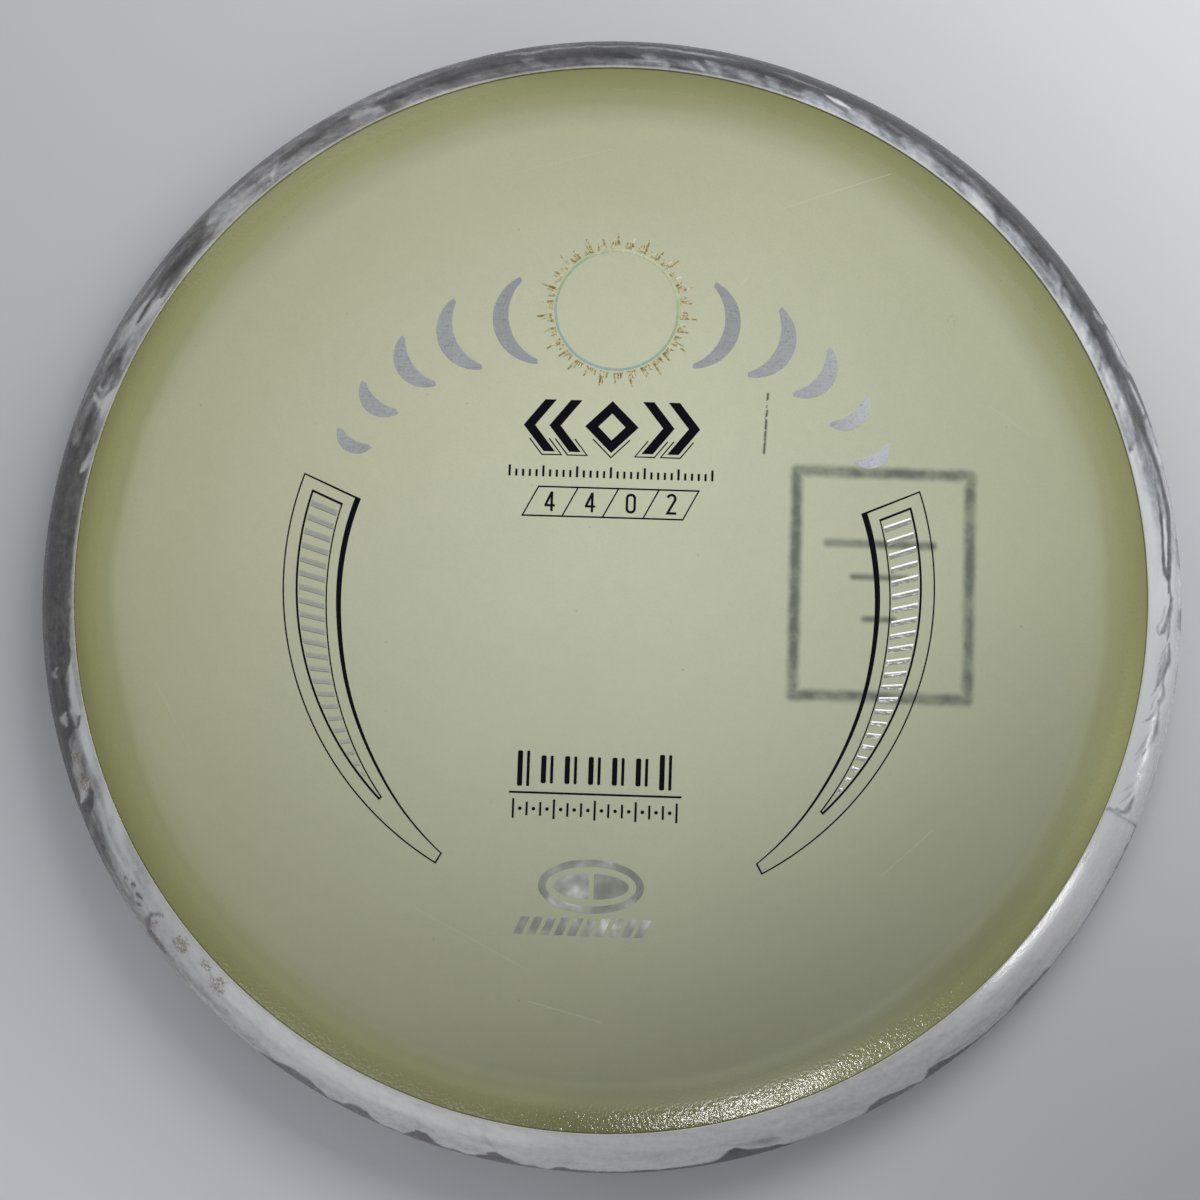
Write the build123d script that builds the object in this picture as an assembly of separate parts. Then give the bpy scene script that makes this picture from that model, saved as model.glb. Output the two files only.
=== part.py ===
from build123d import *
import os
from math import sin, cos, radians, degrees, sqrt, hypot, atan2

# Two-shot flying disc for target games: a domed inner core with a flight plate,
# a second-shot rim locked round its outside, and thin hot-stamp foils and ink.
# Frame: origin at the centre of the flat face the disc rests on (z = 0), +Z up
# through the domed side, +Y towards the top of the printed artwork, +X to its
# right as seen from above. Lengths are in mm, angles in degrees from +X.

# ---------------------------------------------------------------- dimensions
DISC_D = 217.0          # outside diameter over the nose of the rim
DISC_H = 19.0           # resting face to the top of the dome
NOSE_R = DISC_D / 2
NOSE_Z = 6.8            # height of the widest line of the rim
CAVITY_R = 93.5         # inside radius of the rim wall at its top
WALL_FOOT_R = 94.2      # the same at its foot (mould draft)
PLATE_T = 1.9           # flight plate thickness at the centre
UNDER_Z = DISC_H - PLATE_T      # underside of the plate at the centre
UNDER_EDGE_Z = 13.6     # underside of the plate where it meets the rim wall
PLATE_FILLET = 2.5      # between plate and rim wall
FOOT_FILLET = 1.4       # at the foot of the inner wall
DOME_R = 88.0           # where the shallow dome ends and the shoulder starts
DOME_EDGE_Z = 16.6      # height of the dome there
SEAM_R = 100.6          # joint line seen from above
SEAM_Z = 14.0           # height of the core at that joint line
SEAM_FOOT_R = 98.2      # joint line seen from below
LIP_RISE = 0.35         # how far the rim stands above the core at the joint
LIP_Z = SEAM_Z + LIP_RISE
LIP_SLOPE = 20.0        # downward slope of the rim where it leaves the joint
RIM_FOOT_R = 99.9       # where the rim curve reaches the resting face
SEAM_FILLET = 0.3
SEAM_FOOT_FILLET = 0.25
TONGUE_FILLET = 0.5
TONGUE_R = 103.8        # outside radius of the core's locking tongue
TONGUE_TIP_Z = (4.4, 10.8)      # low and high corner of the dovetail tip
GATE_PAD_R = 4.0        # moulding gate pad under the centre of the plate
GATE_PAD_T = 0.3
GATE_PAD_BURY = 0.5     # how far the pad runs up into the plate
FILM_R = 86.0           # radius covered by the film shells
FOIL_T = 0.05           # hot-stamp foil thickness
INK_T = 0.04            # marker ink thickness

# Joint between core and rim, (radius, height) from the foot to the top.
SEAM_POINTS = [
    (SEAM_FOOT_R, 0.0),
    (99.6, 5.6),
    (TONGUE_R, TONGUE_TIP_Z[0]),
    (TONGUE_R, TONGUE_TIP_Z[1]),
    (100.6, 9.6),
    (SEAM_R, SEAM_Z),
]

# Outside of the rim, (radius, height) from the joint over the nose to the foot.
RIM_POINTS = [
    (SEAM_R, LIP_Z), (104.9, 12.15), (107.35, 9.55), (NOSE_R, NOSE_Z),
    (107.8, 4.9), (104.9, 2.25), (101.9, 0.5), (RIM_FOOT_R, 0.0),
]


# -------------------------------------------------------------- curved faces
def sphere_radius(half_chord, sag):
    return (half_chord ** 2 + sag ** 2) / (2.0 * sag)


DOME_SPHERE = sphere_radius(DOME_R, DISC_H - DOME_EDGE_Z)
UNDER_SPHERE = sphere_radius(CAVITY_R, UNDER_Z - UNDER_EDGE_Z)


def cap_z(r, apex_z, sphere_r):
    """Height at radius r of a spherical cap with its top on the axis."""
    return apex_z - (sphere_r - sqrt(sphere_r * sphere_r - r * r))


def dome_z(r, lift=0.0):
    return cap_z(r, DISC_H + lift, DOME_SPHERE + lift)


def under_z(r, drop=0.0):
    return cap_z(r, UNDER_Z - drop, UNDER_SPHERE - drop)


# ------------------------------------------------------------- core and rim
def turn(section):
    """Turn a half section drawn in (radius, height) about Z."""
    return revolve(Plane.XZ * section, axis=Axis.Z)


def round_corners(section, corners):
    """Fillet corners given as (radius, height, fillet), one after another."""
    for r, z, fillet_r in corners:
        found = [v for v in section.vertices() if hypot(v.X - r, v.Y - z) < 0.05]
        section = fillet(found, fillet_r)
    return section


TONGUE_CORNERS = [(TONGUE_R, z, TONGUE_FILLET) for z in TONGUE_TIP_Z]


def make_core():
    dome = ThreePointArc((0, DISC_H), (DOME_R / 2, dome_z(DOME_R / 2)), (DOME_R, DOME_EDGE_Z))
    shoulder = TangentArc((DOME_R, DOME_EDGE_Z), (SEAM_R, SEAM_Z),
                          tangent=(sqrt(DOME_SPHERE ** 2 - DOME_R ** 2), -DOME_R))
    underside = ThreePointArc((CAVITY_R, UNDER_EDGE_Z), (CAVITY_R / 2, under_z(CAVITY_R / 2)),
                              (0, UNDER_Z))
    section = make_face(
        dome + shoulder + Polyline(*SEAM_POINTS[::-1])
        + Line((SEAM_FOOT_R, 0), (WALL_FOOT_R, 0))
        + Line((WALL_FOOT_R, 0), (CAVITY_R, UNDER_EDGE_Z))
        + underside
        + Line((0, UNDER_Z), (0, DISC_H))
    )
    section = round_corners(section, [
        (CAVITY_R, UNDER_EDGE_Z, PLATE_FILLET),
        (WALL_FOOT_R, 0, FOOT_FILLET),
        (SEAM_R, SEAM_Z, SEAM_FILLET),
        (SEAM_FOOT_R, 0, SEAM_FOOT_FILLET),
        *TONGUE_CORNERS,
    ])
    gate_pad = Pos(0, 0, UNDER_Z - GATE_PAD_T) * extrude(
        Circle(GATE_PAD_R), amount=GATE_PAD_T + GATE_PAD_BURY)
    return turn(section) + gate_pad


def make_rim():
    slope = radians(LIP_SLOPE)
    outside = Spline(*RIM_POINTS, tangents=[(cos(slope), -sin(slope)), (-1, 0)])
    section = make_face(
        Line((SEAM_R, SEAM_Z), (SEAM_R, LIP_Z)) + outside
        + Line((RIM_FOOT_R, 0), (SEAM_FOOT_R, 0)) + Polyline(*SEAM_POINTS)
    )
    section = round_corners(section, [
        (SEAM_R, LIP_Z, SEAM_FILLET),
        (SEAM_FOOT_R, 0, SEAM_FOOT_FILLET),
        *TONGUE_CORNERS,
    ])
    return turn(section)


# -------------------------------------------------- films that follow the disc
def film_shell(surface_z, thickness):
    """Thin shell on the outside of a curved face of the disc."""
    def at(r, off=0.0):
        return (r, surface_z(r, off))

    return turn(make_face(
        ThreePointArc(at(0), at(FILM_R / 2), at(FILM_R))
        + Line(at(FILM_R), at(FILM_R, thickness))
        + ThreePointArc(at(FILM_R, thickness), at(FILM_R / 2, thickness), at(0, thickness))
        + Line(at(0, thickness), at(0))))


def film(shapes, shell):
    """Each flat face becomes a thin solid lying on the disc's curved surface."""
    solids = []
    for shape in shapes:
        for face in shape.faces():
            # The prism spans z = 5 to 25, past both shells.
            prism = Pos(0, 0, 5) * extrude(face, amount=20, dir=(0, 0, 1))
            solids += (prism & shell).solids()
    return solids


# ------------------------------------------------------------ drawing helpers
def polar(r, deg, centre=(0.0, 0.0)):
    return (centre[0] + r * cos(radians(deg)), centre[1] + r * sin(radians(deg)))


def mirrored(shapes):
    return [shape.mirror(Plane.YZ) for shape in shapes]


def bar(x0, y0, x1, y1, width):
    """Straight bar between two points."""
    turned = Rot(0, 0, degrees(atan2(y1 - y0, x1 - x0)))
    return Pos((x0 + x1) / 2, (y0 + y1) / 2) * turned * Rectangle(hypot(x1 - x0, y1 - y0), width)


def poly(*points):
    return make_face(Polyline(*points, close=True))


def sheared(x0, x1, y0, y1, shear):
    """Box whose sides lean by shear in x for each unit of y."""
    return poly((x0 + shear * y0, y0), (x1 + shear * y0, y0),
                (x1 + shear * y1, y1), (x0 + shear * y1, y1))


# ---------------------------- dial: a thin ring with tapering ticks all round
DIAL_CENTRE = (0.0, 51.9)
DIAL_RING_R = (11.3, 11.78)                     # inner, outer
DIAL_TICKS = 60
TICK_ROOT_R = 12.05
TICK_TIP_R = (15.1, 13.3, 14.2, 13.3)           # repeats round the dial
TICK_ROOT_HALF_W = 0.27
TICK_TIP_HALF_W = 0.10


def dial_tick(i):
    tip_r = TICK_TIP_R[i % len(TICK_TIP_R)]
    tick = poly((TICK_ROOT_R, -TICK_ROOT_HALF_W), (tip_r, -TICK_TIP_HALF_W),
                (tip_r, TICK_TIP_HALF_W), (TICK_ROOT_R, TICK_ROOT_HALF_W))
    return Pos(*DIAL_CENTRE) * Rot(0, 0, 90 + 360.0 * i / DIAL_TICKS) * tick


def dial_shapes():
    ring = Pos(*DIAL_CENTRE) * (Circle(DIAL_RING_R[1]) - Circle(DIAL_RING_R[0]))
    return [ring] + [dial_tick(i) for i in range(DIAL_TICKS)]


# --------------------------------------- five graduated arc marks on each side
# centre x, centre y, outer radius, mid width, bulge direction
ARC_MARKS = [
    (14.45, 49.93, 8.9, 3.0, -13.0),
    (26.21, 47.30, 7.7, 3.3, -24.0),
    (35.69, 42.07, 6.1, 3.2, -36.0),
    (43.15, 34.91, 4.85, 2.9, -50.0),
    (47.90, 26.88, 3.9, 2.5, -61.0),
]
ARC_SPAN = 76.0         # half angle covered by each mark
ARC_TIP_W = 0.9         # blunt tip width


def arc_mark(cx, cy, outer_r, mid_w, bulge):
    """Outer edge a circle, inner edge a wider curve, blunt at both ends."""
    tip_r = outer_r - ARC_TIP_W
    outer = [polar(outer_r, bulge + a, (cx, cy)) for a in (-ARC_SPAN, 0, ARC_SPAN)]
    inner = [polar(r, bulge + a, (cx, cy))
             for a, r in ((ARC_SPAN, tip_r), (0, outer_r - mid_w), (-ARC_SPAN, tip_r))]
    return make_face(ThreePointArc(*outer) + Line(outer[2], inner[0])
                     + ThreePointArc(*inner) + Line(inner[2], outer[0]))


# ------- title ornament: chevrons and a diamond, with a keyline along the foot
TITLE_CENTRE = (-0.2, 29.35)
TITLE_H = 9.9
CHEVRON_TIPS = ((-16.5, 1), (-11.7, 1), (16.5, -1), (11.7, -1))     # tip x, side its arms open to
CHEVRON_REACH = 3.9     # from the tip to the arm ends in x
CHEVRON_W = 2.125       # stroke width measured along x
DIAMOND_HALF_W = 5.0
DIAMOND_HOLE_HALF_W = 2.55
DIAMOND_WALL_H = 2.4    # from hole to outside at the top and bottom corners
KEYLINE_GAP = (0.5, 0.74)       # inner and outer offset of the keyline
KEYLINE_STRIP = (60, 3.6)       # strip in which the keyline is kept
KEYLINE_STRIP_RISE = 0.8        # its middle above the ornament's foot


def chevron(tip_x, side):
    half_h = TITLE_H / 2
    arm_x = tip_x + side * CHEVRON_REACH
    far_x = tip_x + side * (CHEVRON_REACH + CHEVRON_W)
    return poly((tip_x, 0), (arm_x, half_h), (far_x, half_h),
                (tip_x + side * CHEVRON_W, 0), (far_x, -half_h), (arm_x, -half_h))


def diamond(half_w, half_h):
    return poly((half_w, 0), (0, half_h), (-half_w, 0), (0, -half_h))


def keyline(shape):
    inner, outer = KEYLINE_GAP
    outline = (offset(shape, outer, kind=Kind.INTERSECTION)
               - offset(shape, inner, kind=Kind.INTERSECTION))
    return outline & (Pos(0, -TITLE_H / 2 + KEYLINE_STRIP_RISE) * Rectangle(*KEYLINE_STRIP))


def title_shapes():
    chevrons = [chevron(*tip) for tip in CHEVRON_TIPS]
    solid_diamond = diamond(DIAMOND_HALF_W, TITLE_H / 2)
    open_diamond = solid_diamond - diamond(DIAMOND_HOLE_HALF_W, TITLE_H / 2 - DIAMOND_WALL_H)
    shapes = chevrons + [open_diamond] + [keyline(s) for s in chevrons + [solid_diamond]]
    return [Pos(*TITLE_CENTRE) * shape for shape in shapes]


# ------------- scale row under the title: upright ticks like a ruler's edge
SCALE_X = -0.1
SCALE_FOOT_Y = 19.6
SCALE_N = 31
SCALE_PITCH = 1.26
SCALE_TICK_W = 0.42
SCALE_TALL = 2.1        # every fifth tick
SCALE_SHORT = 1.35


def scale_shapes():
    shapes = []
    for i in range(SCALE_N):
        tall = SCALE_TALL if i % 5 == 0 else SCALE_SHORT
        x = SCALE_X + (i - (SCALE_N - 1) / 2) * SCALE_PITCH
        shapes.append(Pos(x, SCALE_FOOT_Y + tall / 2) * Rectangle(SCALE_TICK_W, tall))
    return shapes


# ------------- rating cells: a sheared strip of four boxes with plain numerals
CELL_N = 4
CELL_X = (-16.55, 13.6)     # left and right ends of the lower edge
CELL_Y = (12.05, 17.85)
CELL_LEAN = 3.0             # shift of the upper edge to the right
CELL_LINE = 0.3
CELL_W = (CELL_X[1] - CELL_X[0]) / CELL_N
CELL_H = CELL_Y[1] - CELL_Y[0]
DIGIT_H, DIGIT_W, DIGIT_LINE = 3.7, 1.9, 0.46
DIGIT_TOP, DIGIT_SIDE = DIGIT_H / 2, DIGIT_W / 2    # from the numeral's centre


def cell_strip():
    shear = CELL_LEAN / CELL_H
    strip = sheared(0, CELL_N * CELL_W, 0, CELL_H, shear)
    for i in range(CELL_N):
        # Neighbours share a line, so each keeps half of it.
        left = i * CELL_W + CELL_LINE * (1.0 if i == 0 else 0.5)
        right = (i + 1) * CELL_W - CELL_LINE * (1.0 if i == CELL_N - 1 else 0.5)
        strip = strip - sheared(left, right, CELL_LINE, CELL_H - CELL_LINE, shear)
    return Pos(CELL_X[0], CELL_Y[0]) * strip


def digit_zero():
    return (RectangleRounded(DIGIT_W, DIGIT_H, 0.85)
            - RectangleRounded(DIGIT_W - 2 * DIGIT_LINE, DIGIT_H - 2 * DIGIT_LINE, 0.45))


def digit_two():
    bowl_y = DIGIT_TOP - DIGIT_SIDE
    foot_y = -DIGIT_TOP + DIGIT_LINE / 2
    bowl = Pos(0, bowl_y) * (Circle(DIGIT_SIDE) - Circle(DIGIT_SIDE - DIGIT_LINE))
    bowl = bowl & (Pos(0, bowl_y + 0.55) * Rectangle(DIGIT_W + 1, DIGIT_W + 0.3))
    return (bowl
            + bar(DIGIT_SIDE - 0.3, bowl_y - 0.25, -DIGIT_SIDE + 0.25, -DIGIT_TOP + 0.2, DIGIT_LINE)
            + bar(-DIGIT_SIDE, foot_y, DIGIT_SIDE, foot_y, DIGIT_LINE))


def digit_four():
    return (bar(0.35, -DIGIT_TOP, 0.35, DIGIT_TOP, DIGIT_LINE)
            + bar(-DIGIT_SIDE, -0.75, DIGIT_SIDE, -0.75, DIGIT_LINE)
            + bar(-DIGIT_SIDE + 0.1, -0.8, 0.45, DIGIT_TOP - 0.22, DIGIT_LINE))


def rating_shapes():
    shapes = [cell_strip()]
    for i, digit in enumerate((digit_four, digit_four, digit_zero, digit_two)):
        x = CELL_X[0] + (i + 0.5) * CELL_W + CELL_LEAN / 2
        shapes.append(Pos(x, (CELL_Y[0] + CELL_Y[1]) / 2) * digit())
    return shapes


# -------- material label: paired uprights, a rule, and a row of ticks and dots
LABEL_X = -1.2
PAIR_N, PAIR_PITCH = 7, 4.35
PAIR_END = (6.5, -38.0)         # height and foot y of the first and last pair
PAIR_MID = (5.1, -37.4)         # the same for the others
PAIR_BARS = ((-0.72, 0.95, 0.3), (0.78, 0.55, 0.2))     # x offset, width, corner radius
RULE_X = LABEL_X + 0.2
RULE_Y = -39.15
RULE_SIZE = (31.7, 0.38)
FINE_Y = -42.1
FINE_N, FINE_PITCH = 13, 2.5
FINE_TICK_W = 0.4
FINE_TALL, FINE_SHORT = 3.6, 2.5        # every third tick is tall
FINE_DOT_R = 0.34


def label_shapes():
    shapes = []
    for i in range(PAIR_N):
        tall, foot_y = PAIR_END if i in (0, PAIR_N - 1) else PAIR_MID
        x = LABEL_X + (i - (PAIR_N - 1) / 2) * PAIR_PITCH
        for dx, width, corner_r in PAIR_BARS:
            shapes.append(Pos(x + dx, foot_y + tall / 2) * RectangleRounded(width, tall, corner_r))
    shapes.append(Pos(RULE_X, RULE_Y) * Rectangle(*RULE_SIZE))
    for i in range(FINE_N):
        x = RULE_X + (i - (FINE_N - 1) / 2) * FINE_PITCH
        tall = FINE_TALL if i % 3 == 0 else FINE_SHORT
        shapes.append(Pos(x, FINE_Y) * Rectangle(FINE_TICK_W, tall))
        if i < FINE_N - 1:
            shapes.append(Pos(x + FINE_PITCH / 2, FINE_Y) * Circle(FINE_DOT_R))
    return shapes


# ---- emblem: an oval ring round a split oval, over a row of slanted bars
EMBLEM_CENTRE = (-1.2, -55.9)
OVAL_RING = ((9.7, 4.9), (8.3, 3.6))    # outer and inner half axes
OVAL = (6.9, 2.35)
OVAL_SPLIT = (1.0, 6)
SLANT_CENTRE = (-2.6, -63.3)
SLANT_N, SLANT_PITCH = 10, 2.46
SLANT_HALF_W, SLANT_HALF_H, SLANT_SHEAR = 0.8, 1.6, 0.45


def emblem_shapes():
    shapes = [
        Pos(*EMBLEM_CENTRE) * (Ellipse(*OVAL_RING[0]) - Ellipse(*OVAL_RING[1])),
        Pos(*EMBLEM_CENTRE) * (Ellipse(*OVAL) - Rectangle(*OVAL_SPLIT)),
    ]
    for i in range(SLANT_N):
        x = SLANT_CENTRE[0] + (i - (SLANT_N - 1) / 2) * SLANT_PITCH
        slant = sheared(-SLANT_HALF_W, SLANT_HALF_W, -SLANT_HALF_H, SLANT_HALF_H, SLANT_SHEAR)
        shapes.append(Pos(x, SLANT_CENTRE[1]) * slant)
    return shapes


# --------- gauge: a curved frame near the edge with a framed window inside it
# Inner edge of the gauge: angle, radius, width of the heavy line along it.
GAUGE_STATIONS = [
    (17.2, 48.8, 1.12), (0, 49.4, 1.0), (-12, 50.15, 0.85), (-25, 51.7, 0.7),
    (-39.4, 54.0, 0.5), (-51.4, 56.5, 0.34), (-60.5, 58.35, 0.22),
]
GAUGE_INNER = [(a, r) for a, r, _ in GAUGE_STATIONS]
GAUGE_OUT_R = 60.6
GAUGE_OUT_TOP = 18.4        # angle at the top of the outer arc
# Inner edge of the window: angle, radius.
WINDOW_INNER = [(15.1, 51.75), (0, 52.1), (-12.4, 52.8),
                (-26.7, 54.47), (-36.9, 56.0), (-45.5, 57.35)]
WINDOW_OUT_R = 58.15
WINDOW_OUT_TOP = 16.0
INSET_FOOT_DROP = 0.02      # inward shift of the foot point of an inset edge


def polar_spline(points):
    return Spline(*[polar(r, a) for a, r in points])


def band(inner, outer_r, outer_top):
    """Region between an inner curve and an outer arc; the ends are straight."""
    (top, top_r), (foot, foot_r) = inner[0], inner[-1]
    arc_top, arc_foot = polar(outer_r, outer_top), polar(outer_r, foot)
    arc_mid = polar(outer_r, (outer_top + foot) / 2)
    return make_face(polar_spline(inner) + Line(polar(foot_r, foot), arc_foot)
                     + ThreePointArc(arc_foot, arc_mid, arc_top)
                     + Line(arc_top, polar(top_r, top)))


def inset_band(inner, outer_r, outer_top, *, top_deg, foot_deg, outer_gap, inner_gap):
    """The same band, shortened in degrees at its ends and narrowed at its edges."""
    (top, top_r), *middle, (foot, foot_r) = inner
    trimmed = [(top - top_deg, top_r), *middle, (foot + foot_deg, foot_r - INSET_FOOT_DROP)]
    return band([(a, r + inner_gap) for a, r in trimmed],
                outer_r - outer_gap, outer_top - top_deg)


def heavy_edge():
    """Heavier inner edge of the gauge, tapering towards the foot."""
    far = [(a, r + width) for a, r, width in GAUGE_STATIONS]
    (top, top_r), (foot, foot_r) = GAUGE_INNER[0], GAUGE_INNER[-1]
    return make_face(polar_spline(GAUGE_INNER)
                     + Line(polar(foot_r, foot), polar(far[-1][1], foot))
                     + polar_spline(far[::-1])
                     + Line(polar(far[0][1], top), polar(top_r, top)))


def gauge_shapes():
    gauge = (GAUGE_INNER, GAUGE_OUT_R, GAUGE_OUT_TOP)
    window = (WINDOW_INNER, WINDOW_OUT_R, WINDOW_OUT_TOP)
    gauge_hollow = inset_band(*gauge, top_deg=0.3, foot_deg=0.3, outer_gap=0.27, inner_gap=0.27)
    window_hollow = inset_band(*window, top_deg=0.45, foot_deg=0.35, outer_gap=0.4, inner_gap=0.26)
    return [(band(*gauge) - gauge_hollow) + heavy_edge(), band(*window) - window_hollow]


# ------- rungs: short bars across the window, narrower and shorter to the foot
RUNG_N = 23
RUNG_W = (1.15, 0.80)       # first and last rung
RUNG_CUT_L = 12.0           # length before trimming to the window
RUNG_TOP, RUNG_SWEEP = 13.2, 55.5       # angle of the first rung, span to the last
RUNG_BUNCHING = 0.1         # how much the pitch shrinks towards the foot
RUNG_TILT, RUNG_TILT_GAIN = 8.0, 15.0   # lean from radial at the top, added further down
RUNG_TILT_RATE = 2.2        # the added lean is complete at 1 / 2.2 of the way
RUNG_GAP = 0.62             # clear of the window's outer arc
RUNG_MIN_AREA = 0.3         # smaller scraps are left out


def window_inner_r(angle):
    """Inner radius of the window, by straight lines between the listed points."""
    for (a0, r0), (a1, r1) in zip(WINDOW_INNER, WINDOW_INNER[1:]):
        if a1 <= angle <= a0:
            return r0 + (r1 - r0) * (angle - a0) / (a1 - a0)


def rung_shapes():
    clear = inset_band(WINDOW_INNER, WINDOW_OUT_R, WINDOW_OUT_TOP,
                       top_deg=1.0, foot_deg=0.8, outer_gap=RUNG_GAP, inner_gap=0.48)
    rungs = []
    for i in range(RUNG_N):
        s = i / (RUNG_N - 1)
        angle = RUNG_TOP - RUNG_SWEEP * (s + RUNG_BUNCHING * s * (1 - s))
        tilt = RUNG_TILT + RUNG_TILT_GAIN * min(1.0, s * RUNG_TILT_RATE)
        middle = polar((window_inner_r(angle) + 0.5 + WINDOW_OUT_R - RUNG_GAP) / 2, angle)
        width = RUNG_W[0] + (RUNG_W[1] - RUNG_W[0]) * s
        rung = Pos(*middle) * Rot(0, 0, angle + tilt) * Rectangle(RUNG_CUT_L, width)
        rungs += [f for f in (rung & clear).faces() if f.area > RUNG_MIN_AREA]
    return rungs


# --------- name box in marker on the underside: a frame and three short lines
BOX_X = (33.6, 67.9)
BOX_Y = (-20.6, 23.2)
BOX_STROKE = 2.0
BOX_CORNER_R = (1.4, 0.6)       # outside, inside
BOX_LINES = ((8.8, 21.0, 1.5), (2.6, 11.0, 1.1), (-5.2, 6.5, 1.1))     # y, length, thickness
BOX_LINES_DX = -0.5             # from the middle of the box


def name_box_shapes():
    x, y = sum(BOX_X) / 2, sum(BOX_Y) / 2
    width, height = BOX_X[1] - BOX_X[0], BOX_Y[1] - BOX_Y[0]
    frame = (RectangleRounded(width, height, BOX_CORNER_R[0])
             - RectangleRounded(width - 2 * BOX_STROKE, height - 2 * BOX_STROKE, BOX_CORNER_R[1]))
    return [Pos(x, y) * frame] + [
        Pos(x + BOX_LINES_DX, line_y) * RectangleRounded(length, thick, thick * 0.45)
        for line_y, length, thick in BOX_LINES]


# ---------------------------------------------------------------- write nodes
top_shell = film_shell(dome_z, FOIL_T)
under_shell = film_shell(under_z, INK_T)
arcs = [arc_mark(*mark) for mark in ARC_MARKS]
gauge = gauge_shapes()
rungs = rung_shapes()

foils = {
    "ring_foil": dial_shapes(),
    "arc_marks_right_foil": arcs,
    "arc_marks_left_foil": mirrored(arcs),
    "title_foil": title_shapes(),
    "scale_row_foil": scale_shapes(),
    "rating_cells_foil": rating_shapes(),
    "label_foil": label_shapes(),
    "emblem_foil": emblem_shapes(),
    "gauge_right_foil": gauge,
    "gauge_left_foil": mirrored(gauge),
    "rungs_right_foil": rungs,
    "rungs_left_foil": mirrored(rungs),
}
nodes = {
    "core": make_core().solids(),
    "overmould_rim": make_rim().solids(),
    **{name: film(shapes, top_shell) for name, shapes in foils.items()},
    "name_box_ink": film(name_box_shapes(), under_shell),
}
os.makedirs("parts", exist_ok=True)
for name, solids in nodes.items():
    shape = solids[0] if len(solids) == 1 else Compound(children=solids)
    shape.label = name
    export_step(shape, f"parts/{name}.step")
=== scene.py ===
"""A flying disc: a pale sage plate with a marbled rim moulded round it and foil artwork on top.

The disc lies flat with its axis on Z, its foot at z = 0 and its domed top facing +Z. The dial
of the artwork sits towards +Y. Shapes are worked out in millimetres and stored in metres; the
floor, lights and camera are in metres.
"""

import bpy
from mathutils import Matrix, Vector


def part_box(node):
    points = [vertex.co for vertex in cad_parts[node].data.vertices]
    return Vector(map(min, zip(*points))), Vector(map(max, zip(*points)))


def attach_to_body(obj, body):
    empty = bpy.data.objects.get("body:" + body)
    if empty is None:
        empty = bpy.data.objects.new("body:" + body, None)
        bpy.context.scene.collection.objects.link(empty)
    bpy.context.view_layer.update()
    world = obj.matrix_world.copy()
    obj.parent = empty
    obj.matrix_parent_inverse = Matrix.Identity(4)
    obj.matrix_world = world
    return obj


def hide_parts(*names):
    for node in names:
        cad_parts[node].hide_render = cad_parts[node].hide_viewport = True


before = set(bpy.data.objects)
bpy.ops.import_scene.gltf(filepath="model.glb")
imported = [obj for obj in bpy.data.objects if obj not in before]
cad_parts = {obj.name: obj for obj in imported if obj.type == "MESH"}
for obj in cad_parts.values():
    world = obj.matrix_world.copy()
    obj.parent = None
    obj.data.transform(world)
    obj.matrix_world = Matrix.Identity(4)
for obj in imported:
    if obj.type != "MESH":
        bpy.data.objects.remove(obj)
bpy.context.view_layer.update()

import functools
import math
import operator

import bpy
import numpy as np
from mathutils import Matrix, Vector, geometry

MM = 0.001
rad = math.radians

# ------------------------------------------------------------------ dimensions, mm
DISC_H = round(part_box("core")[1].z / MM, 2)
DOME_R, DOME_EDGE_Z = 88.0, 16.6
SEAM_R, SEAM_Z, LIP_RISE = 100.6, 14.0, 0.35        # joint between plate and rim, on top
SEAM_FOOT_R = 98.2                                  # the same joint at the foot
CAVITY_R, UNDER_EDGE_Z, WALL_FOOT_R = 93.5, 13.6, 94.2
UNDER_Z = 17.1
NOSE_R, NOSE_Z = round(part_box("overmould_rim")[1].x / MM, 2), 6.8
RIM_FOOT_R = 99.9
INTERLOCK = [(SEAM_R, 9.6), (103.8, 10.8), (103.8, 4.4), (99.6, 5.6)]      # (radius, z), downwards
SHADE_TILT = 1.8        # the rim colours and the camera are turned by this about Z, degrees
CORE_SEGMENTS, RIM_SEGMENTS = 480, 1440


def sphere_radius(edge_r, rise):
    return (edge_r ** 2 + rise ** 2) / (2 * rise)


DOME_SPHERE = sphere_radius(DOME_R, DISC_H - DOME_EDGE_Z)
UNDER_SPHERE = sphere_radius(CAVITY_R, UNDER_Z - UNDER_EDGE_Z)


def cap_z(r, top, sphere):
    return top - (sphere - np.sqrt(sphere ** 2 - np.asarray(r, float) ** 2))


def dome_z(r):
    return cap_z(r, DISC_H, DOME_SPHERE)


def under_z(r):
    return cap_z(r, UNDER_Z, UNDER_SPHERE)


# ------------------------------------------------------------- noise in numpy
def lattice_hash(ix, iy, seed):
    h = ix.astype(np.int64) * 374761393 + iy.astype(np.int64) * 668265263 + seed * 974634777
    h = h & 0xFFFFFFFF
    h = ((h ^ (h >> 13)) * 1274126177) & 0xFFFFFFFF
    h = h ^ (h >> 16)
    return (h & 0xFFFFFF) / float(0xFFFFFF)


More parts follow.
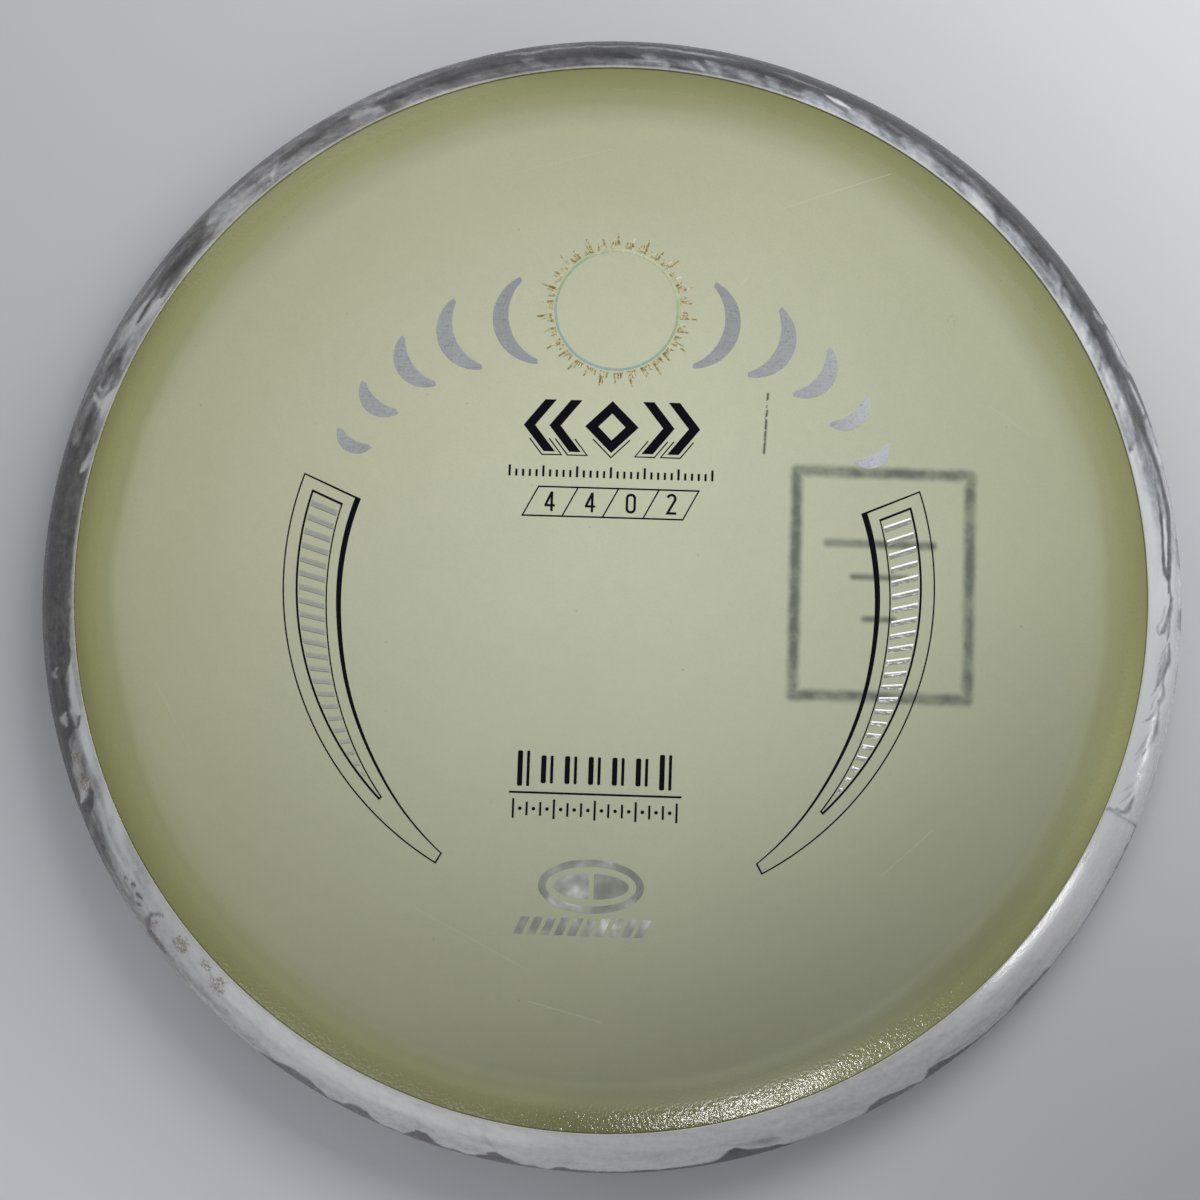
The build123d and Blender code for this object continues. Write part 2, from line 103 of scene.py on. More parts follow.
def value_noise(x, y, seed):
    """Smooth value noise in 0..1 on a fixed lattice, so every run gives the same result."""
    x, y = np.broadcast_arrays(np.asarray(x, float), np.asarray(y, float))
    ix, iy = np.floor(x), np.floor(y)
    fx, fy = x - ix, y - iy
    ux = fx * fx * fx * (fx * (fx * 6 - 15) + 10)
    uy = fy * fy * fy * (fy * (fy * 6 - 15) + 10)
    a, b = lattice_hash(ix, iy, seed), lattice_hash(ix + 1, iy, seed)
    c, d = lattice_hash(ix, iy + 1, seed), lattice_hash(ix + 1, iy + 1, seed)
    return (a * (1 - ux) + b * ux) * (1 - uy) + (c * (1 - ux) + d * ux) * uy


def fbm(x, y, octaves, seed):
    """Value noise summed over octaves, each half as strong as the one before."""
    total, gain, norm = 0.0, 1.0, 0.0
    for o in range(octaves):
        total = total + gain * value_noise(x * 2 ** o + 17.3 * o, y * 2 ** o + 9.1 * o, seed + o)
        norm += gain
        gain *= 0.5
    return total / norm


def smooth(a, b, x):
    """Smooth step of x, from 0 at a to 1 at b."""
    t = np.clip((x - a) / (b - a), 0, 1)
    return t * t * (3 - 2 * t)


# ------------------------------------------------------------- profile helpers
def dense(points, step):
    """A polyline with extra points so that no gap is longer than step."""
    out = [np.array(points[0], float)]
    for p, q in zip(points, points[1:]):
        p, q = np.array(p, float), np.array(q, float)
        n = max(1, int(math.ceil(np.linalg.norm(q - p) / step)))
        out += [p + (q - p) * k / n for k in range(1, n + 1)]
    return out


def rounded(points, corner, cut, pieces):
    """Replaces a corner of a polyline by a bend that starts and ends `cut` away from it."""
    pts = [np.array(p, float) for p in points]
    corner = np.array(corner, float)
    nearest = min(range(len(pts)), key=lambda k: np.linalg.norm(pts[k] - corner))

    def walk(step):
        left, k = cut, nearest
        while 0 <= k + step < len(pts):
            d = np.linalg.norm(pts[k + step] - pts[k])
            if d >= left:
                return pts[k] + (pts[k + step] - pts[k]) * left / d, k + step
            left, k = left - d, k + step
        return pts[k], k

    a, before = walk(-1)
    b, after = walk(1)
    bend = [(1 - t) ** 2 * a + 2 * t * (1 - t) * corner + t * t * b
            for t in np.linspace(0, 1, pieces + 1)]
    return pts[:before + 1] + bend + pts[after:]


def hermite(points, start_dir, end_dir, step):
    """Smooth curve through the points with given end directions."""
    p = [np.array(q, float) for q in points]
    tangent = [np.array(start_dir, float)]
    for a, b, c in zip(p, p[1:], p[2:]):
        d0, d1 = np.linalg.norm(b - a), np.linalg.norm(c - b)
        tangent.append(((b - a) / d0 * d1 + (c - b) / d1 * d0) / (d0 + d1))
    tangent.append(np.array(end_dir, float))
    out = [p[0]]
    for k in range(len(p) - 1):
        d = np.linalg.norm(p[k + 1] - p[k])
        n = max(2, int(math.ceil(d / step)))
        for j in range(1, n + 1):
            t = j / n
            h00, h10 = 2 * t ** 3 - 3 * t ** 2 + 1, t ** 3 - 2 * t ** 2 + t
            h01, h11 = -2 * t ** 3 + 3 * t ** 2, t ** 3 - t ** 2
            out.append(h00 * p[k] + h10 * d * tangent[k]
                       + h01 * p[k + 1] + h11 * d * tangent[k + 1])
    return out


def new_object(name, verts, faces, shade_smooth=True):
    mesh = bpy.data.meshes.new(name)
    mesh.from_pydata([tuple(v) for v in verts], [], [tuple(f) for f in faces])
    mesh.polygons.foreach_set("use_smooth", [shade_smooth] * len(mesh.polygons))
    mesh.update()
    mesh.validate()
    ob = bpy.data.objects.new(name, mesh)
    bpy.context.scene.collection.objects.link(ob)
    return ob


def attach(ob, name, values):
    """Stores one number per vertex for the materials to read."""
    attribute = ob.data.attributes.new(name, "FLOAT", "POINT")
    attribute.data.foreach_set("value", np.asarray(values, np.float32))


def lathe(profile, segments, closed):
    """Turns a half section about Z. Open profiles start and end on the axis; closed ones ring it."""
    prof = np.array(profile)
    angle = np.arange(segments) * 2 * math.pi / segments
    body = prof if closed else prof[1:-1]
    n = len(body)
    r, z = body[:, 0:1], body[:, 1:2]
    verts = np.stack([r * np.cos(angle), r * np.sin(angle), np.repeat(z, segments, 1)], 2)
    verts = verts.reshape(-1, 3)
    j = np.arange(segments)
    j_next = (j + 1) % segments
    faces = []
    for i in range(n if closed else n - 1):
        a, b = i * segments, ((i + 1) % n) * segments
        faces.append(np.stack([a + j, b + j, b + j_next, a + j_next], 1))
    faces = np.concatenate(faces).tolist()
    if not closed:
        top, bottom = len(verts), len(verts) + 1
        verts = np.vstack([verts, [[0, 0, prof[0][1]], [0, 0, prof[-1][1]]]])
        last = (n - 1) * segments
        pairs = list(zip(j.tolist(), j_next.tolist()))
        faces += [[top, a, b] for a, b in pairs]
        faces += [[bottom, last + b, last + a] for a, b in pairs]
    return verts, faces


# ----------------------------------------------------------------------- core
GATE = (1.5, -1.7)      # middle of the shallow gate mark on the top


def moulded(z, x, y):
    """Adds the gate mark and very gentle waves to a height on the top."""
    r = np.hypot(x, y)
    d = np.hypot(x - GATE[0], y - GATE[1])
    z = z - (0.05 * np.exp(-(d / 1.9) ** 2) - 0.03 * np.exp(-((d - 2.6) / 0.6) ** 2))
    wave = 0.035 * (fbm(x / 38.0 + 5, y / 38.0 + 3, octaves=2, seed=11) - 0.5)
    return z + wave * smooth(3, 12, r) * (1 - smooth(86, 96, r))


def plate_height(x, y):
    return moulded(dome_z(np.hypot(x, y)), x, y)


def under_height(x, y):
    return under_z(np.hypot(x, y))


def core_profile():
    """Half section (radius, z): top, shoulder arc, interlocking wall, foot, hollow underside."""
    dome_slope = math.asin(DOME_R / DOME_SPHERE)
    chord = np.array([SEAM_R - DOME_R, SEAM_Z - DOME_EDGE_Z])
    chord_slope = math.atan2(-chord[1], chord[0])
    radius = np.linalg.norm(chord) / (2 * math.sin(chord_slope - dome_slope))
    centre = np.array([DOME_R - radius * math.sin(dome_slope),
                       DOME_EDGE_Z - radius * math.cos(dome_slope)])
    rings = np.concatenate([[0, 0.4, 0.9, 1.5, 2.2, 3.0, 4.0, 5.2],
                            np.arange(6.5, 87.5, 1.6), [DOME_R]])
    top = [(r, float(dome_z(r))) for r in rings]
    top += [tuple(centre + radius * np.array([math.sin(s), math.cos(s)]))
            for s in np.linspace(dome_slope, 2 * chord_slope - dome_slope, 22)[1:]]
    wall = dense([(SEAM_R, SEAM_Z), *INTERLOCK, (SEAM_FOOT_R, 0)], 1.5)[1:]
    foot = dense([(SEAM_FOOT_R, 0), (WALL_FOOT_R, 0), (CAVITY_R, UNDER_EDGE_Z)], 0.9)[1:]
    under = [(r, float(under_z(r))) for r in np.arange(92.0, 4.6, -1.9)]
    # shallow round recess in the middle of the underside
    recess_z = UNDER_Z - 0.32
    under += [(4.5, float(under_z(4.5))), (4.15, UNDER_Z - 0.28),
              (3.8, recess_z), (2, recess_z), (0, recess_z)]
    profile = top + wall + foot + under
    for corner, cut, pieces in (((SEAM_R, SEAM_Z), 0.26, 5), ((SEAM_FOOT_R, 0), 0.2, 3),
                                ((WALL_FOOT_R, 0), 1.35, 6), ((CAVITY_R, UNDER_EDGE_Z), 2.4, 8)):
        profile = rounded(profile, corner, cut, pieces)
    return profile


def build_core():
    verts, faces = lathe(core_profile(), CORE_SEGMENTS, closed=False)
    r = np.hypot(verts[:, 0], verts[:, 1])
    top = (verts[:, 2] > 13.0) & (verts[:, 2] > under_z(np.minimum(r, 93)) + 0.8)
    verts[top, 2] = moulded(verts[top, 2], verts[top, 0], verts[top, 1])
    return new_object("disc_core", verts * MM, faces)


core = build_core()


# ------------------------------------------------------------------------ rim
def rim_profile():
    """Closed half section (radius, z) of the rim."""
    lip = (SEAM_R, SEAM_Z + LIP_RISE)
    nose = (NOSE_R, NOSE_Z)
    upper = hermite([lip, (104.9, 12.15), (107.35, 9.55), nose],
                    (math.cos(rad(20)), -math.sin(rad(20))), (0, -1), 0.31)
    lower = hermite([nose, (107.8, 4.9), (104.9, 2.25), (101.9, 0.5), (RIM_FOOT_R, 0.0)],
                    (0, -1), (-1, 0), 0.55)
    joint = dense([(RIM_FOOT_R, 0), (SEAM_FOOT_R, 0), *INTERLOCK[::-1],
                   (SEAM_R, SEAM_Z - 1.2), lip], 2.2)
    profile = upper + lower[1:] + joint[1:-1]
    # the lip corner goes to the middle of the list, so that it can be rounded
    half = len(profile) // 2
    profile = profile[half:] + profile[:half]
    profile = rounded(profile, lip, 0.24, 6)
    return rounded(profile, (SEAM_FOOT_R, 0), 0.2, 3)


def place_across(profile):
    """0 at the joint line, 1 at the nose, up to 2 underneath."""
    r, z = np.array(profile).T
    upper = (r - SEAM_R) / (NOSE_R - SEAM_R)
    lower = 1.0 + (NOSE_R - r) / (NOSE_R - SEAM_FOOT_R) * 0.9 + 0.1 * (NOSE_Z - z) / NOSE_Z
    return np.clip(np.where(z >= NOSE_Z, upper, lower), 0, 2)


def rim_mesh():
    """Vertices, faces, and each vertex's angle (degrees, clockwise from above) and place across."""
    profile = rim_profile()
    verts, faces = lathe(profile, RIM_SEGMENTS, closed=True)
    r = np.hypot(verts[:, 0], verts[:, 1])
    angle = (SHADE_TILT - np.degrees(np.arctan2(verts[:, 1], verts[:, 0]))) % 360.0
    # parting line round the nose, then small nicks and scrapes from play
    ridge = 0.07 * np.exp(-((verts[:, 2] - NOSE_Z) / 0.16) ** 2)
    nick = np.clip(fbm(angle * 1.9, verts[:, 2] * 0.55, 3, 41) - 0.66, 0, 1) * 1.1
    nick += 0.35 * np.clip(fbm(angle * 5.0, verts[:, 2] * 1.7, 2, 43) - 0.72, 0, 1)
    worn = 0.35 + 0.65 * np.exp(-((angle - 148) / 16.0) ** 2)
    push = (ridge - np.minimum(nick * worn, 0.28)) * (r > 104.2)
    verts[:, :2] *= (1 + push / r)[:, None]
    return verts, faces, angle, np.repeat(place_across(profile), RIM_SEGMENTS)


# --------------------------------------------------- marbling of the rim
# Points are (angle in degrees, place across). Tones run from 0, the white compound, to 1, the
# dark slate compound.
def ringed(field, angle):
    """Evaluates noise round the rim so that it meets itself at 0 and 360 degrees."""
    k = smooth(348.0, 360.0, angle)
    return field(angle) * (1 - k) + field(angle - 360.0) * k


class Swirl:
    """A tone field over the rim, painted like marbled plastic: broad zones, then strokes."""
    MM_PER_DEGREE, MM_ACROSS = 1.82, 7.9

    def __init__(self, angle, across):
        bend = (ringed(lambda a: fbm(a * 0.55, across * 2.6, 3, 201), angle) - 0.5) * 1.1
        drift = ringed(lambda a: fbm(a * 0.75 + 5, across * 3.0 + 7, 3, 203), angle) - 0.5
        self.angle = (angle + bend * smooth(0.0, 0.1, across)) % 360.0
        self.across = across + drift * 0.085
        self.tone = np.zeros_like(angle)

    def around(self, points):
        """The angles, unwrapped about the middle of a line of points."""
        c = 0.5 * (points[0][0] + points[-1][0])
        return (self.angle - c + 180.0) % 360.0 - 180.0 + c

    def zones(self, table):
        columns = np.array(table, float).T
        start = columns[0][0]
        angle = (self.angle - start) % 360.0 + start
        inner, middle, outer = [np.interp(angle, columns[0], c) for c in columns[1:]]
        a = smooth(0.18, 0.42, self.across)
        b = smooth(0.60, 0.82, self.across)
        self.tone = inner * (1 - a) + middle * a * (1 - b) + outer * a * b

    def paint(self, alpha, tone):
        self.tone = self.tone * (1 - alpha) + tone * alpha

    def edge(self, points, tone, softness, alpha):
        """Paints the side of a boundary line that is nearer the nose."""
        angle = self.around(points)
        b = np.interp(angle, [p[0] for p in points], [p[1] for p in points])
        start, end = points[0][0], points[-1][0]
        k = smooth(b - softness, b + softness, self.across)
        ends = smooth(start, start + 0.5, angle) * (1 - smooth(end - 0.5, end, angle))
        self.paint(np.where((angle > start) & (angle < end), k * ends * alpha, 0.0), tone)

    def line(self, points, half_width, tone, alpha, softness=0.55, taper=(0.25, 1.0, 0.15)):
        """Paints a streak; half_width is in mm, taper scales it at the start, at 0.4 and the end."""
        angle = self.around(points)
        low = min(p[0] for p in points) - 1.6
        high = max(p[0] for p in points) + 1.6
        near_by = np.nonzero((angle > low) & (angle < high) & (self.across < 1.2))[0]
        q = np.stack([angle[near_by] * self.MM_PER_DEGREE,
                      self.across[near_by] * self.MM_ACROSS], 1)
        p = [np.array((a * self.MM_PER_DEGREE, b * self.MM_ACROSS)) for a, b in points]
        path = []
        for i in range(len(p) - 1):
            p0, p1, p2, p3 = p[max(i - 1, 0)], p[i], p[i + 1], p[min(i + 2, len(p) - 1)]
            for s in np.linspace(0, 1, 7)[:-1]:
                path.append(0.5 * (2 * p1 + (p2 - p0) * s + (2 * p0 - 5 * p1 + 4 * p2 - p3) * s * s
                                   + (3 * p1 - p0 - 3 * p2 + p3) * s ** 3))
        path.append(p[-1])
        best = np.full(len(near_by), 1e9)
        where = np.zeros(len(near_by))
        for i in range(len(path) - 1):
            a = path[i]
            ab = path[i + 1] - a
            s = np.clip(((q - a) @ ab) / (ab @ ab + 1e-12), 0, 1)
            distance = np.hypot(*(q - a - s[:, None] * ab).T)
            nearer = distance < best
            best[nearer] = distance[nearer]
            where[nearer] = (i + s[nearer]) / (len(path) - 1)
        w = half_width * np.interp(where, [0, 0.4, 1], taper)
        k = (1 - smooth(w * (1 - softness), w * (1 + softness) + 0.12, best)) * alpha
        self.tone[near_by] = self.tone[near_by] * (1 - k) + tone * k

    def dab(self, t0, v0, t1, v1, w):
        """A pale feather trailing towards the joint line, with a dark fold along one edge."""
        alpha = 0.72
        mid = (0.5 * (t0 + t1) + 0.12 * (v0 - v1), 0.5 * (v0 + v1) + 0.04)
        fold = [(t0 + 0.5 * w, v0 - 0.02), (mid[0] + 0.75 * w, mid[1] - 0.01), (t1 + 0.5 * w, v1)]
        self.line(fold, w * 0.9, 0.74, alpha * 0.55, 0.8, (0.4, 1.0, 0.5))
        self.line([(t0, v0), mid, (t1, v1)], w * 1.1, 0.20, alpha, 1.0, (0.30, 1.0, 0.45))

    def draw(self, table):
        for paint, *values in table:
            paint(self, *values)


EDGE, LINE, DAB = Swirl.edge, Swirl.line, Swirl.dab

# angle, tone near the joint line, in the middle, near the nose
ZONES = [
    (-16, .10, .40, .22), (0, .04, .05, .16), (20, .04, .06, .13), (24.1, .04, .06, .13),
    (24.4, .12, .12, .15), (60, .16, .16, .18), (100, .13, .13, .17), (130, .10, .13, .26),
    (150, .13, .18, .45), (160, .16, .38, .84), (172, .20, .84, .95), (185, .72, .86, .84),
    (195, .68, .84, .82), (205, .46, .62, .62), (212, .34, .48, .56), (219, .56, .66, .66),
    (227, .44, .46, .64), (238, .50, .58, .62), (250, .56, .68, .64), (265, .52, .76, .74),
    (280, .62, .74, .78), (290, .52, .76, .84), (300, .38, .80, .86), (320, .30, .74, .84),
    (335, .26, .62, .62), (344, .16, .42, .30)]

# wave line and its curved tails: points, half width, tone, alpha
TAILS = [
    ([(1.0, .585), (2.05, .65), (3.1, .585), (4.4, .44), (4.8, .32), (4.2, .27)], .36, .60, .9),
    ([(2.0, .46), (3.1, .41), (4.3, .30)], .20, .42, .7),
    ([(3.6, .60), (4.6, .585), (5.3, .55)], .24, .50, .8),
    ([(5.5, .62), (7.0, .65), (8.2, .575), (9.9, .46), (11.0, .33)], .42, .62, .9),
    ([(6.6, .56), (8.2, .47), (10.2, .38), (11.6, .30)], .22, .44, .75),
    ([(5.6, .55), (7.0, .46), (8.6, .36)], .18, .34, .6),
    ([(8.2, .585), (9.6, .55), (10.8, .615), (11.7, .57), (12.9, .48), (14.0, .32), (14.2, .22)],
     .36, .62, .9),
    ([(10.2, .52), (11.6, .44), (13.0, .34)], .18, .40, .7),
    ([(11.7, .535), (14.2, .575), (15.7, .56), (17.2, .49), (18.0, .42)], .50, .66, .9),
    ([(13.2, .52), (15.2, .44), (17.6, .30), (18.2, .24)], .20, .42, .75),
    ([(14.8, .50), (16.6, .42), (19.0, .28)], .18, .36, .7),
    ([(18.4, .54), (20.2, .48), (21.6, .28), (21.9, .18)], .24, .34, .7),
    ([(21.0, .50), (22.3, .40), (23.2, .30)], .20, .44, .7),
    ([(21.9, .56), (22.9, .55), (23.8, .50), (24.15, .36), (24.3, .06)], .40, .68, .95)]

# Tables to draw. EDGE rows: points, tone, softness, alpha.
# LINE rows: points, half width, tone, alpha, softness, taper.
# DAB rows: angle and place at the start, angle and place at the end, half width.
NOSE_BEFORE_KNIT = [
    (EDGE, [(1.9, 1.05), (2.4, .86), (3.9, .84), (4.4, 1.05)], .52, .05, .8),
    (EDGE, [(7.0, 1.05), (7.8, .93), (10.0, .94), (10.8, 1.05)], .45, .04, .7),
    (EDGE, [(16.0, 1.05), (17.0, .95), (21.5, .95), (22.5, 1.05)], .34, .04, .6),
    (EDGE, [(-5.5, 1.05), (-4.8, .90), (-2.6, .86), (-1.6, 1.05)], .50, .05, .7)]

# dark edge along the nose, breaking into small waves, then a curl in the pale stretch
NOSE_WAVES = [
    (EDGE, [(24.2, .80), (24.7, .92), (27, .94), (32, .935), (35, .96), (37.5, 1.02)],
     .62, .03, .85),
    (EDGE, [(35.5, 1.03), (37, .965), (39, .96), (40.5, 1.03)], .45, .03, .6),
    (EDGE, [(39.5, 1.02), (41.5, .93), (44.5, .90), (46.5, .95), (48.2, 1.02)], .72, .035, .9),
    (EDGE, [(47.0, 1.0), (49.5, .945), (52.2, .93), (53.8, .88), (55.2, .80), (56.0, .755),
            (56.45, .80), (56.9, .93), (57.6, 1.03)], .80, .022, .95),
    (LINE, [(50.5, .87), (53.0, .80), (55.2, .75), (56.2, .79)], .30, .42, .6, .9),
    (LINE, [(44.5, .80), (47.5, .84), (50.0, .86)], .55, .30, .5, .9),
    (EDGE, [(57.0, 1.03), (58.5, .94), (60.0, .86), (62.3, .815), (63.6, .87), (64.6, 1.02)],
     .74, .025, .9),
    (EDGE, [(64.0, 1.0), (66.0, .95), (69.5, .955), (71.5, .94)], .50, .03, .6),
    (EDGE, [(70.5, 1.02), (72.0, .95), (74.0, .875), (75.6, .80), (77.1, .655), (77.7, .69),
            (78.3, .80), (79.1, .90), (80.6, .945), (83, .955), (86.5, .96), (90.5, .955)],
     .84, .022, .95),
    (LINE, [(72.6, .76), (74.4, .69), (76.3, .64)], .70, .36, .55, .9),
    (LINE, [(73.6, .70), (75.5, .62), (77.0, .60)], .30, .30, .5, .9),
    (EDGE, [(90.0, .955), (92.5, .92), (94.7, .875), (95.4, .92), (96.4, .955), (98.2, .94),
            (99.9, .86), (101.3, .755), (101.95, .77), (102.5, .88), (103.2, .955), (106.0, .96),
            (107.2, .90), (108.0, .78), (108.9, .715), (109.4, .74), (109.9, .88), (110.6, .955),
            (112.5, .95), (114.2, .86), (115.4, .775), (116.2, .80), (117.0, .91), (118.0, .95),
            (120.2, .86)], .70, .022, .95),
    (LINE, [(101.2, .70), (102.2, .48), (102.4, .36)], .45, .26, .5, .9),
    (LINE, [(107.5, .66), (109.2, .52), (109.6, .30)], .5, .22, .45, .9),
    (EDGE, [(119.8, .86), (121.2, .79), (122.9, .775), (124.6, .85), (126.4, .93),
            (127.6, 1.03)], .66, .02, .95),
    (LINE, [(141.0, .88), (142.6, .86), (143.5, .76), (143.9, .58), (143.6, .42), (143.2, .30)],
     .55, .62, .8, .9),
    (LINE, [(140.2, .80), (141.4, .84), (142.8, .80)], .50, .50, .6, .9)]

# small dark dots beside the curl: angle, place across, half width
DOTS = [(145.7, .65, .22), (146.4, .53, .18), (147.6, .50, .26), (148.8, .57, .16)]

# the dark compound sweeps in from the nose
DARK_SWEEP = [
    (EDGE, [(149, 1.02), (152, .95), (155.0, .92), (156.2, .70), (156.8, .50), (157.9, .36),
            (158.6, .45), (158.9, .62)], .80, .035, .9),
    (EDGE, [(158.4, .86), (160.4, .90), (162.0, .72), (163.8, .62), (164.6, .42), (165.2, .20),
            (166.2, .12), (167.2, .42), (170.0, .38), (172.0, .16), (175, .11), (181, .10),
            (188, .08), (196, .02)], .86, .04, .95),
    (LINE, [(157.9, .80), (158.6, .60), (159.1, .42)], 1.25, .10, .9, .6),
    (LINE, [(160.6, .72), (162.0, .55), (163.6, .42)], 1.1, .26, .8, .8),
    (LINE, [(165.5, .56), (166.5, .62), (167.1, .50)], .95, .14, .85, .7),
    (LINE, [(165.2, .30), (167.5, .26), (170.8, .16)], .9, .20, .8, .7),
    (LINE, [(170.5, .58), (171.0, .70), (171.4, .55)], .55, .22, .75, .7),
    (LINE, [(172, .78), (178, .88), (186, .86)], .5, .66, .5, .9)]

# most thickly marbled stretch: points, half width, tone, alpha
STIRRED = [
    ([(192.2, .26), (193.4, .12), (195.6, .10)], .75, .16, .85),
    ([(195.2, .66), (197.0, .72), (199.4, .66), (200.2, .50)], 1.05, .34, .8),
    ([(195.0, .52), (196.2, .58), (197.2, .52)], .5, .28, .6),
    ([(198.8, .10), (200.4, .16), (202.4, .06)], 1.15, .08, .95),
    ([(200.6, .62), (200.0, .42), (199.4, .26)], .5, .14, .8),
    ([(201.3, .56), (201.6, .42)], .45, .14, .8),
    ([(203.5, .52), (204.6, .36), (205.8, .20)], .8, .86, .7),
    ([(205.6, .58), (208.5, .52), (212.0, .46)], 1.7, .16, .85),
    ([(204.0, .14), (208.0, .20), (212.0, .18), (214.5, .10)], 1.3, .10, .85),
    ([(209.6, .38), (211.5, .375), (213.4, .37)], .34, .84, .9),
    ([(213.0, .36), (214.6, .50), (216.8, .68)], .75, .74, .75),
    ([(212.8, .22), (215.0, .24), (217.5, .26)], .55, .80, .8),
    ([(216.0, .10), (218.5, .10), (221.0, .16)], .6, .22, .8),
    ([(219.4, .38), (221.0, .46), (222.4, .60)], .9, .82, .8),
    ([(222.4, .52), (225.0, .44), (228.6, .40)], 2.1, .20, .8),
    ([(222.0, .14), (226.0, .16), (229.8, .12)], 1.3, .14, .8),
    ([(230.2, .06), (231.2, .28), (232.2, .50)], .45, .12, .8),
    ([(233.0, .50), (236.5, .56), (240.2, .50)], .65, .78, .8),
    ([(232.5, .20), (235.5, .28), (239.0, .24)], 1.1, .30, .7),
    ([(241.2, .46), (243.6, .34), (245.3, .16)], 1.7, .10, .9),
    ([(243.2, .10), (244.6, .08), (245.7, .06)], .8, .30, .8),
    ([(245.9, .40), (246.6, .20), (247.0, .08)], .8, .72, .7)]

SLATE_ARC = [
    # grey inner half, dark band, pale drawn line
    (LINE, [(244.5, .72), (248, .70), (251.4, .66), (251.8, .74)], .75, .34, .75, .9),
    (LINE, [(246, .56), (254, .54), (262, .50), (272, .52)], 1.2, .80, .8, .8),
    (LINE, [(259.2, .70), (262.5, .68), (265.8, .69)], .55, .24, .85, .8),
    (LINE, [(262.0, .50), (266.5, .46), (270.0, .36)], 1.3, .78, .8, .8),
    (LINE, [(266, .70), (272, .685), (278, .66), (282.0, .64), (284.6, .70), (287, .67),
            (290, .60), (294, .58)], .40, .20, .85, .7),
    (LINE, [(273.5, .76), (279, .77), (285, .78), (291, .74), (299, .70), (306, .66)],
     .50, .96, .85, .7),
    (LINE, [(272, .54), (278, .52), (284, .50), (290, .50), (296, .58)], .85, .86, .8, .8),
    (LINE, [(280, .70), (290, .66), (300, .60)], .25, .90, .7, .7),
    (DAB, 260.6, .42, 263.4, .08, .95), (DAB, 273.4, .38, 276.2, .12, .8),
    (DAB, 278.8, .36, 280.2, .10, .5), (DAB, 280.6, .42, 282.2, .10, .75),
    (DAB, 283.8, .30, 286.4, .10, 1.0), (DAB, 287.0, .38, 289.0, .08, .7),
    (DAB, 291.0, .24, 294.0, .08, .9), (DAB, 296.4, .32, 300.5, .12, 1.2),
    (DAB, 303.0, .34, 308.0, .10, 1.3), (DAB, 311.5, .30, 316.5, .10, 1.2),
    (DAB, 323.8, .50, 327.4, .10, .75), (DAB, 326.6, .40, 329.4, .12, .6),
    (DAB, 330.2, .46, 332.4, .12, .8), (DAB, 333.0, .42, 335.4, .12, .7),
    (DAB, 336.6, .38, 340.2, .12, .9), (DAB, 340.8, .36, 345.0, .10, 1.0),
    (LINE, [(293.8, .44), (295.2, .40), (296.6, .36)], .5, .05, .9, .6),
    # slate band with drawn lines
    (EDGE, [(296, .80), (302, .60), (310, .56), (318, .56), (324, .52), (330, .44), (336, .40),
            (340, .42), (343, .50), (345.5, .56)], .76, .06, .7),
    (LINE, [(297.5, .60), (301, .61), (303.2, .58)], .5, .99, .9, .7),
    (LINE, [(303, .70), (308, .66), (313.5, .63), (319, .58), (326, .56)], .34, .97, .85, .7),
    (LINE, [(306.5, .60), (309.5, .60), (312.6, .58)], .30, .55, .7, .7),
    (LINE, [(314, .50), (318, .45), (323, .50)], .30, .80, .7, .7),
    (LINE, [(300, .86), (312, .88), (324, .86)], .8, .70, .6, .9),
    (LINE, [(313, .74), (320, .72), (327, .66)], .25, .60, .6, .7),
    (LINE, [(330.2, .80), (331.6, .86)], .6, .10, .85, .7, (.6, 1, .5)),
    (LINE, [(332.8, .86), (335.2, .84), (337.2, .92)], .9, .10, .85, .7, (.6, 1, .5)),
    (LINE, [(338.4, .76), (340.0, .78), (341.6, .80)], .5, .10, .85, .7, (.6, 1, .5)),
    (LINE, [(342.4, .84), (344.6, .80), (347, .88)], 1.0, .10, .85, .7, (.6, 1, .5)),
    # the long closed loop
    (LINE, [(340, .60), (344.2, .64), (348, .70), (351.4, .75), (354, .70), (357.0, .61),
            (358.7, .58), (359.2, .52), (358.6, .45), (357.2, .44), (354, .50), (350.4, .56)],
     .42, .74, .92, .6, (.9, 1, .5)),
    (LINE, [(353.0, .59), (355.8, .54), (358.2, .51)], .38, .02, .9, .6),
    (LINE, [(345, .56), (349, .58), (352.5, .58)], .7, .40, .7, .9),
    (LINE, [(359.0, .60), (361.5, .60), (363.0, .57)], .26, .58, .85, .7)]

# mean tone of the underside: angle, tone
UNDERSIDE = [(-16, .46), (0, .38), (22, .42), (27, .66), (60, .70), (122, .66), (138, .46),
             (155, .60), (175, .80), (240, .70), (300, .70), (335, .52), (344, .46)]


